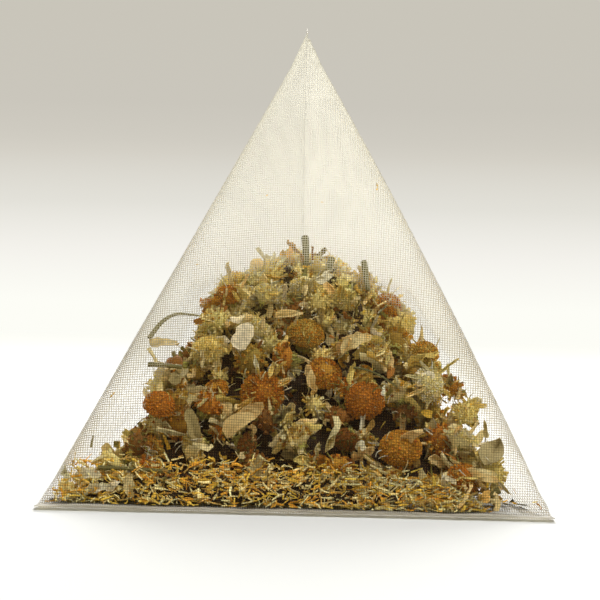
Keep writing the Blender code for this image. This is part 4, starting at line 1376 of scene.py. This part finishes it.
def make_crumbs(settings):
    """The mound and its bed: a core painted nearly black as shade, covered with slivers of florets,
    petals and scales.
    """
    rng = random.Random(500)
    colours = palette(settings)
    batch = Gathering()
    # The core is painted nearly black, as the shade deep in the heap
    batch.add(make_crumb_core(), Matrix.Identity(4), colours["crumb_dark"], CRUMB)
    choices = ("crumb_ochre", "crumb_cream", "crumb_tan", "crumb_ochre", "crumb_cream",
               "floret_gold", "crumb_cream")
    for k in range(settings.crumbs):
        where = rng.random()
        wall = "front" if where < FRONT_CRUMBS else rng.choice(("right", "left"))
        by_wall, on_mound = where < WALL_CRUMBS, where > FLOOR_CRUMBS
        if by_wall:
            place = crumb_by_wall(rng, wall)
        elif on_mound:
            place = crumb_on_mound(rng)
        else:
            place = crumb_on_floor(rng, in_corner=k % 3 == 0)
        if not place:
            continue
        way = Vector((rng.gauss(0, 1), rng.gauss(0, 0.8), rng.gauss(0, 0.35)))
        if by_wall:
            across, upwards, out, _ = wall_axes(wall)
            way = across * rng.gauss(0, 1) + upwards * rng.gauss(0, 0.45) + out * rng.gauss(0, 0.3)
        length = rng.uniform(0.5, 1.6) * MM
        thick = rng.uniform(1.0, 2.0) * MM
        tint = colours[rng.choice(choices)]
        # Crumbs on the mound, and those behind the front wall to the right, are painted darker as shade
        if on_mound:
            tint = [part * MOUND_SHADE for part in tint]
        elif wall == "front" and place.x > SHADED_FROM:
            tint = [part * RIGHT_SHADE for part in tint]
        matrix = pointed(place, way, (thick, thick * 0.7, length), any_spin(rng))
        batch.add(rng.choice(PATTERNS["sliver"]), matrix, varied(tint, rng, 0.3), CRUMB)
    finish_piece(batch.build("crumb_pile"), ["crumb_heap"])


def covers_head(place, out, homes):
    """Whether a bit at this place would be in a flower head or hide one from outside."""
    for middle, _, radius in homes:
        apart = place - middle
        over_it = apart.dot(out)
        beside = (apart - out * over_it).length
        if beside < radius * 1.1 and over_it > -0.4 * radius:
            return True
    return False


def head_places():
    """Middle, facing and radius of the frame's flower heads, its leaf and the fan of petals."""
    places = [head_frame(row, number > HEADS_ON_MOUND) for number, row in enumerate(HEADS, start=1)]
    out = wall_axes("front")[2]
    leaf = wall_point("front", LEAF[0] - 0.02, LEAF[1] - 0.02, 1.2 * MM)
    fan = wall_point("front", *FAN[:2], FAN[2] * MM)
    return places + [(leaf, out, 1.3 * MM), (fan, out, 1.5 * MM)]


def bit_place(rng, wall, homes):
    """A place between the flower heads and the way out of the bag there, or nothing."""
    if wall == "top":
        place, out = mound_below(rng.uniform(-14, 14), rng.uniform(-28, 6))
        if not place or place.z < MOUND_SHOULDER:
            return None
        place = place + out * rng.uniform(0.2, 1.6) * MM
        return None if depth_in_bag(place) < 1.5 * MM else (place, out)
    over = rng.uniform(0.02, 0.98)
    up = rng.uniform(0.03, max(0.04, outline_height(outline_of(wall), over)))
    deep = (6.2 - 3.0 * rng.random() ** 1.6) * MM
    place = wall_point(wall, up, over, deep)
    out = wall_axes(wall)[2]
    in_a_hollow = wall == "front" and deep < 5.2 * MM and in_hollow(place, 0)
    return None if in_a_hollow or covers_head(place, out, homes) else (place, out)


def make_bits(settings):
    """Broken petals, scales and florets that fill the layer between the flower heads."""
    rng = random.Random(600)
    colours = palette(settings)
    batch = Gathering()
    kinds = ("petal_curved", "petal_folded", "petal_broad", "petal_hooked", "scale", "wisp",
             "sliver", "floret")
    tints = ("petal_grey", "petal_tan", "scale_olive", "petal_cream", "floret_brown",
             "crumb_tan", "crumb_ochre")
    walls = ("front", "front", "front", "right", "left", "top")
    homes = head_places()
    for k in range(settings.bits):
        spot = bit_place(rng, walls[k % len(walls)], homes)
        if not spot:
            continue
        place, out = spot
        forward = Vector([rng.gauss(0, 1) for _ in range(3)])
        forward -= out * forward.dot(out) * 0.5
        kind = rng.choice(kinds)
        tint = varied(colours[rng.choice(tints)], rng, 0.25)
        length = rng.uniform(1.0, 2.6) * MM
        if kind in ("wisp", "sliver", "floret"):
            wide = 0.4 * MM if kind == "floret" else length * rng.uniform(0.8, 1.5)
            tall = 0.6 * MM if kind == "floret" else length
            matrix = pointed(place, forward, (wide, wide, tall), any_spin(rng))
            finish = CRUMB
        else:
            normal = out + jitter(rng, 0.7)
            matrix = turned(place, forward, normal, (rng.uniform(0.6, 1.2) * MM, length, length))
            finish = SCALE if kind == "scale" else PETAL
        batch.add(rng.choice(PATTERNS[kind]), matrix, tint, finish)
    finish_piece(batch.build("broken_bits"), [])


# The stage

def seen_ray(tree):
    """1 for a ray that comes from the camera, straight or by gloss or glass, and 0 for others."""
    rays = add_node(tree, "ShaderNodeLightPath").outputs
    seen = rays["Is Camera Ray"]
    for name in ("Is Glossy Ray", "Is Transmission Ray"):
        seen = add_node(tree, "ShaderNodeMath", {"operation": "MAXIMUM"}, {0: seen, 1: rays[name]})
    return seen


def sweep_material(colours):
    """Matt paper sweep. The floor near the bag is plain white paper that keeps the bag's shadow;
    further back the camera sees a painted glow instead, with painted shade that darkens it towards the
    top."""
    material, tree, output = new_material("matt_paper_sweep")
    place = add_node(tree, "ShaderNodeTexCoord").outputs["Object"]
    axes = add_node(tree, "ShaderNodeSeparateXYZ", links={0: place}).outputs
    path = add_node(
        tree, "ShaderNodeMath", {"operation": "MULTIPLY_ADD", 1: 3.0}, {0: axes[2], 2: axes[1]})
    ramp = add_node(tree, "ShaderNodeValToRGB", links={0: path})
    stops = ramp.color_ramp.elements
    stops[0].position, stops[0].color = 0.167, colours.low_glow
    stops[1].position, stops[1].color = 0.99, colours.high
    for spot, colour in ((0.262, linear("#F4F2EC")), (0.40, colours.middle),
                         (0.63, linear("#D4D0C6")), (0.815, linear("#CAC6BC"))):
        stops.new(spot).color = colour
    paper = add_node(tree, "ShaderNodeBsdfDiffuse", {"Color": tuple(colours.floor)})
    # The camera sees the backdrop as this glow, with the ramp's painted shade, in place of lit paper
    plain = add_node(tree, "ShaderNodeEmission", links={"Color": ramp})
    far = add_node(
        tree, "ShaderNodeMapRange",
        {"interpolation_type": "SMOOTHSTEP", "From Min": 0.035, "From Max": 0.12}, {"Value": path})
    share = add_node(tree, "ShaderNodeMath", {"operation": "MULTIPLY"}, {0: far, 1: seen_ray(tree)})
    both = add_node(tree, "ShaderNodeMixShader", links={0: share, 1: paper, 2: plain})
    tree.links.new(both.outputs[0], output.inputs["Surface"])
    return material


def add_lamp(name, power, size, place):
    """A large round lamp aimed at the bag."""
    lamp = bpy.data.lights.new(name, "AREA")
    lamp.shape = "DISK"
    lamp.size = size
    lamp.energy = power
    turn = (Vector((0, -0.01, 0.015)) - Vector(place)).to_track_quat("-Z", "Y")
    link_object(name, lamp).matrix_world = Matrix.Translation(place) @ turn.to_matrix().to_4x4()


def make_sweep(settings):
    """Floor and backdrop in one sheet of paper with a rounded corner."""
    begin()
    bpy.ops.mesh.primitive_plane_add(size=1, location=(0, 0, 0))
    sweep = bpy.context.object
    sweep.name = "paper_sweep"
    edit_select(sweep, "VERT", lambda v: True)
    bpy.ops.transform.resize(value=(4.0, 2.0, 1))
    edit_select(sweep, "VERT", lambda v: v.co.y > 0)
    bpy.ops.mesh.extrude_region_move(TRANSFORM_OT_translate={"value": (0, 0.0, 1.4)})
    edit_select(sweep, "VERT", lambda v: v.co.y > 0.3 and v.co.z < 0.5)
    bpy.ops.mesh.bevel(offset=0.30, segments=16, affect="EDGES")
    bpy.ops.object.mode_set(mode="OBJECT")
    sweep.data.shade_smooth()
    sweep.data.materials.append(sweep_material(settings))


def make_world(settings):
    """Even light from all round, and a pale background where the sweep ends."""
    world = bpy.data.worlds.new("studio")
    world.use_nodes = True
    tree = world.node_tree
    light = tree.nodes["Background"]
    light.inputs["Color"].default_value = (1.0, 0.995, 0.98, 1.0)
    light.inputs["Strength"].default_value = settings.ambient
    shown = add_node(tree, "ShaderNodeBackground", {"Color": linear("#ECE9E1"), "Strength": 1.0})
    both = add_node(tree, "ShaderNodeMixShader", links={0: seen_ray(tree), 1: light, 2: shown})
    tree.links.new(both.outputs[0], tree.nodes["World Output"].inputs["Surface"])
    bpy.context.scene.world = world
    bpy.context.scene.view_settings.view_transform = "Standard"


def make_camera(settings):
    """The camera: a little above the bag, almost square to its front, and rolled slightly."""
    target = Vector((0.0001, -0.0346, 0.0240))
    around, above, roll = math.radians(0.25), math.radians(6.5), math.radians(1.34)
    away = Vector(
        (math.sin(around) * math.cos(above), -math.cos(around) * math.cos(above), math.sin(above)))
    right = Vector((0, 0, 1)).cross(away).normalized()
    upward = away.cross(right)
    level_right = right * math.cos(roll) + upward * math.sin(roll)
    level_up = upward * math.cos(roll) - right * math.sin(roll)
    turn = Matrix((level_right, level_up, away)).transposed().to_4x4()
    view = bpy.data.cameras.new("view")
    view.lens = settings.lens
    view.sensor_width = 36
    view.clip_start = 0.01
    camera = link_object("view", view)
    camera.matrix_world = Matrix.Translation(target + away * settings.distance) @ turn
    bpy.context.scene.camera = camera


class TEABAG_OT_stage(bpy.types.Operator):
    """Make the floor, backdrop, lamps and camera"""
    bl_idname = "teabag.stage"
    bl_label = "Stage"

    def execute(self, context):
        settings = context.scene.tea_bag_stage
        make_sweep(settings)
        add_lamp("soft_key", settings.key_power, 0.16, (0.15, -0.16, 0.40))
        add_lamp("soft_back", settings.back_power, 0.20, (0.0, 0.34, 0.22))
        make_world(settings)
        make_camera(settings)
        return {"FINISHED"}


class TEABAG_OT_gauze(bpy.types.Operator):
    """Make the folded and sealed gauze"""
    bl_idname = "teabag.gauze"
    bl_label = "Gauze"

    def execute(self, context):
        make_gauze(context.scene.tea_bag_gauze)
        return {"FINISHED"}


class TEABAG_OT_patterns(bpy.types.Operator):
    """Model the small shapes that the filling is copied from"""
    bl_idname = "teabag.patterns"
    bl_label = "Patterns"

    def execute(self, context):
        PATTERNS.update(model_patterns())
        return {"FINISHED"}


class TEABAG_OT_heads(bpy.types.Operator):
    """Make the dried flower heads"""
    bl_idname = "teabag.heads"
    bl_label = "Flower heads"

    def execute(self, context):
        filling = context.scene.tea_bag_filling
        colours = palette(filling)
        for number, row in enumerate(HEADS, start=1):
            make_head(number, row, colours, filling.floret_width)
        homes = head_places()
        make_top_heads(filling, homes)
        for wall in WALLS:
            make_small_heads(wall, filling, homes)
        return {"FINISHED"}


class TEABAG_OT_crumbs(bpy.types.Operator):
    """Make the mound and bed of crumbs and the bits between the heads"""
    bl_idname = "teabag.crumbs"
    bl_label = "Crumbs"

    def execute(self, context):
        make_crumbs(context.scene.tea_bag_filling)
        make_bits(context.scene.tea_bag_filling)
        return {"FINISHED"}


class TEABAG_OT_petals(bpy.types.Operator):
    """Make the loose petals, the leaf, the stalks and the grains"""
    bl_idname = "teabag.petals"
    bl_label = "Petals and stalks"

    def execute(self, context):
        colours = palette(context.scene.tea_bag_filling)
        make_loose_petals(colours)
        make_sprigs(colours)
        return {"FINISHED"}


class TEABAG_PT_panel(bpy.types.Panel):
    """The tea bag's pieces and their sizes and colours"""
    bl_label = "Tea Bag"
    bl_idname = "TEABAG_PT_panel"
    bl_space_type = "VIEW_3D"
    bl_region_type = "UI"
    bl_category = "Tea Bag"

    def draw(self, context):
        layout = self.layout
        for step in STEPS:
            layout.operator(step.bl_idname)
        scene = context.scene
        for group in (scene.tea_bag_gauze, scene.tea_bag_filling, scene.tea_bag_stage):
            column = layout.column()
            for key in group.__annotations__:
                column.prop(group, key)


STEPS = (TEABAG_OT_stage, TEABAG_OT_gauze, TEABAG_OT_patterns, TEABAG_OT_heads, TEABAG_OT_petals,
         TEABAG_OT_crumbs)
CLASSES = (TeaBagGauze, TeaBagFilling, TeaBagStage, *STEPS, TEABAG_PT_panel)


def register():
    for entry in CLASSES:
        bpy.utils.register_class(entry)
    bpy.types.Scene.tea_bag_gauze = bpy.props.PointerProperty(type=TeaBagGauze)
    bpy.types.Scene.tea_bag_filling = bpy.props.PointerProperty(type=TeaBagFilling)
    bpy.types.Scene.tea_bag_stage = bpy.props.PointerProperty(type=TeaBagStage)


def unregister():
    del bpy.types.Scene.tea_bag_stage
    del bpy.types.Scene.tea_bag_filling
    del bpy.types.Scene.tea_bag_gauze
    for entry in reversed(CLASSES):
        bpy.utils.unregister_class(entry)


def main():
    register()
    bpy.ops.teabag.stage()
    bpy.ops.teabag.gauze()
    bpy.ops.teabag.patterns()
    bpy.ops.teabag.heads()
    bpy.ops.teabag.petals()
    bpy.ops.teabag.crumbs()


if __name__ == "__main__":
    main()
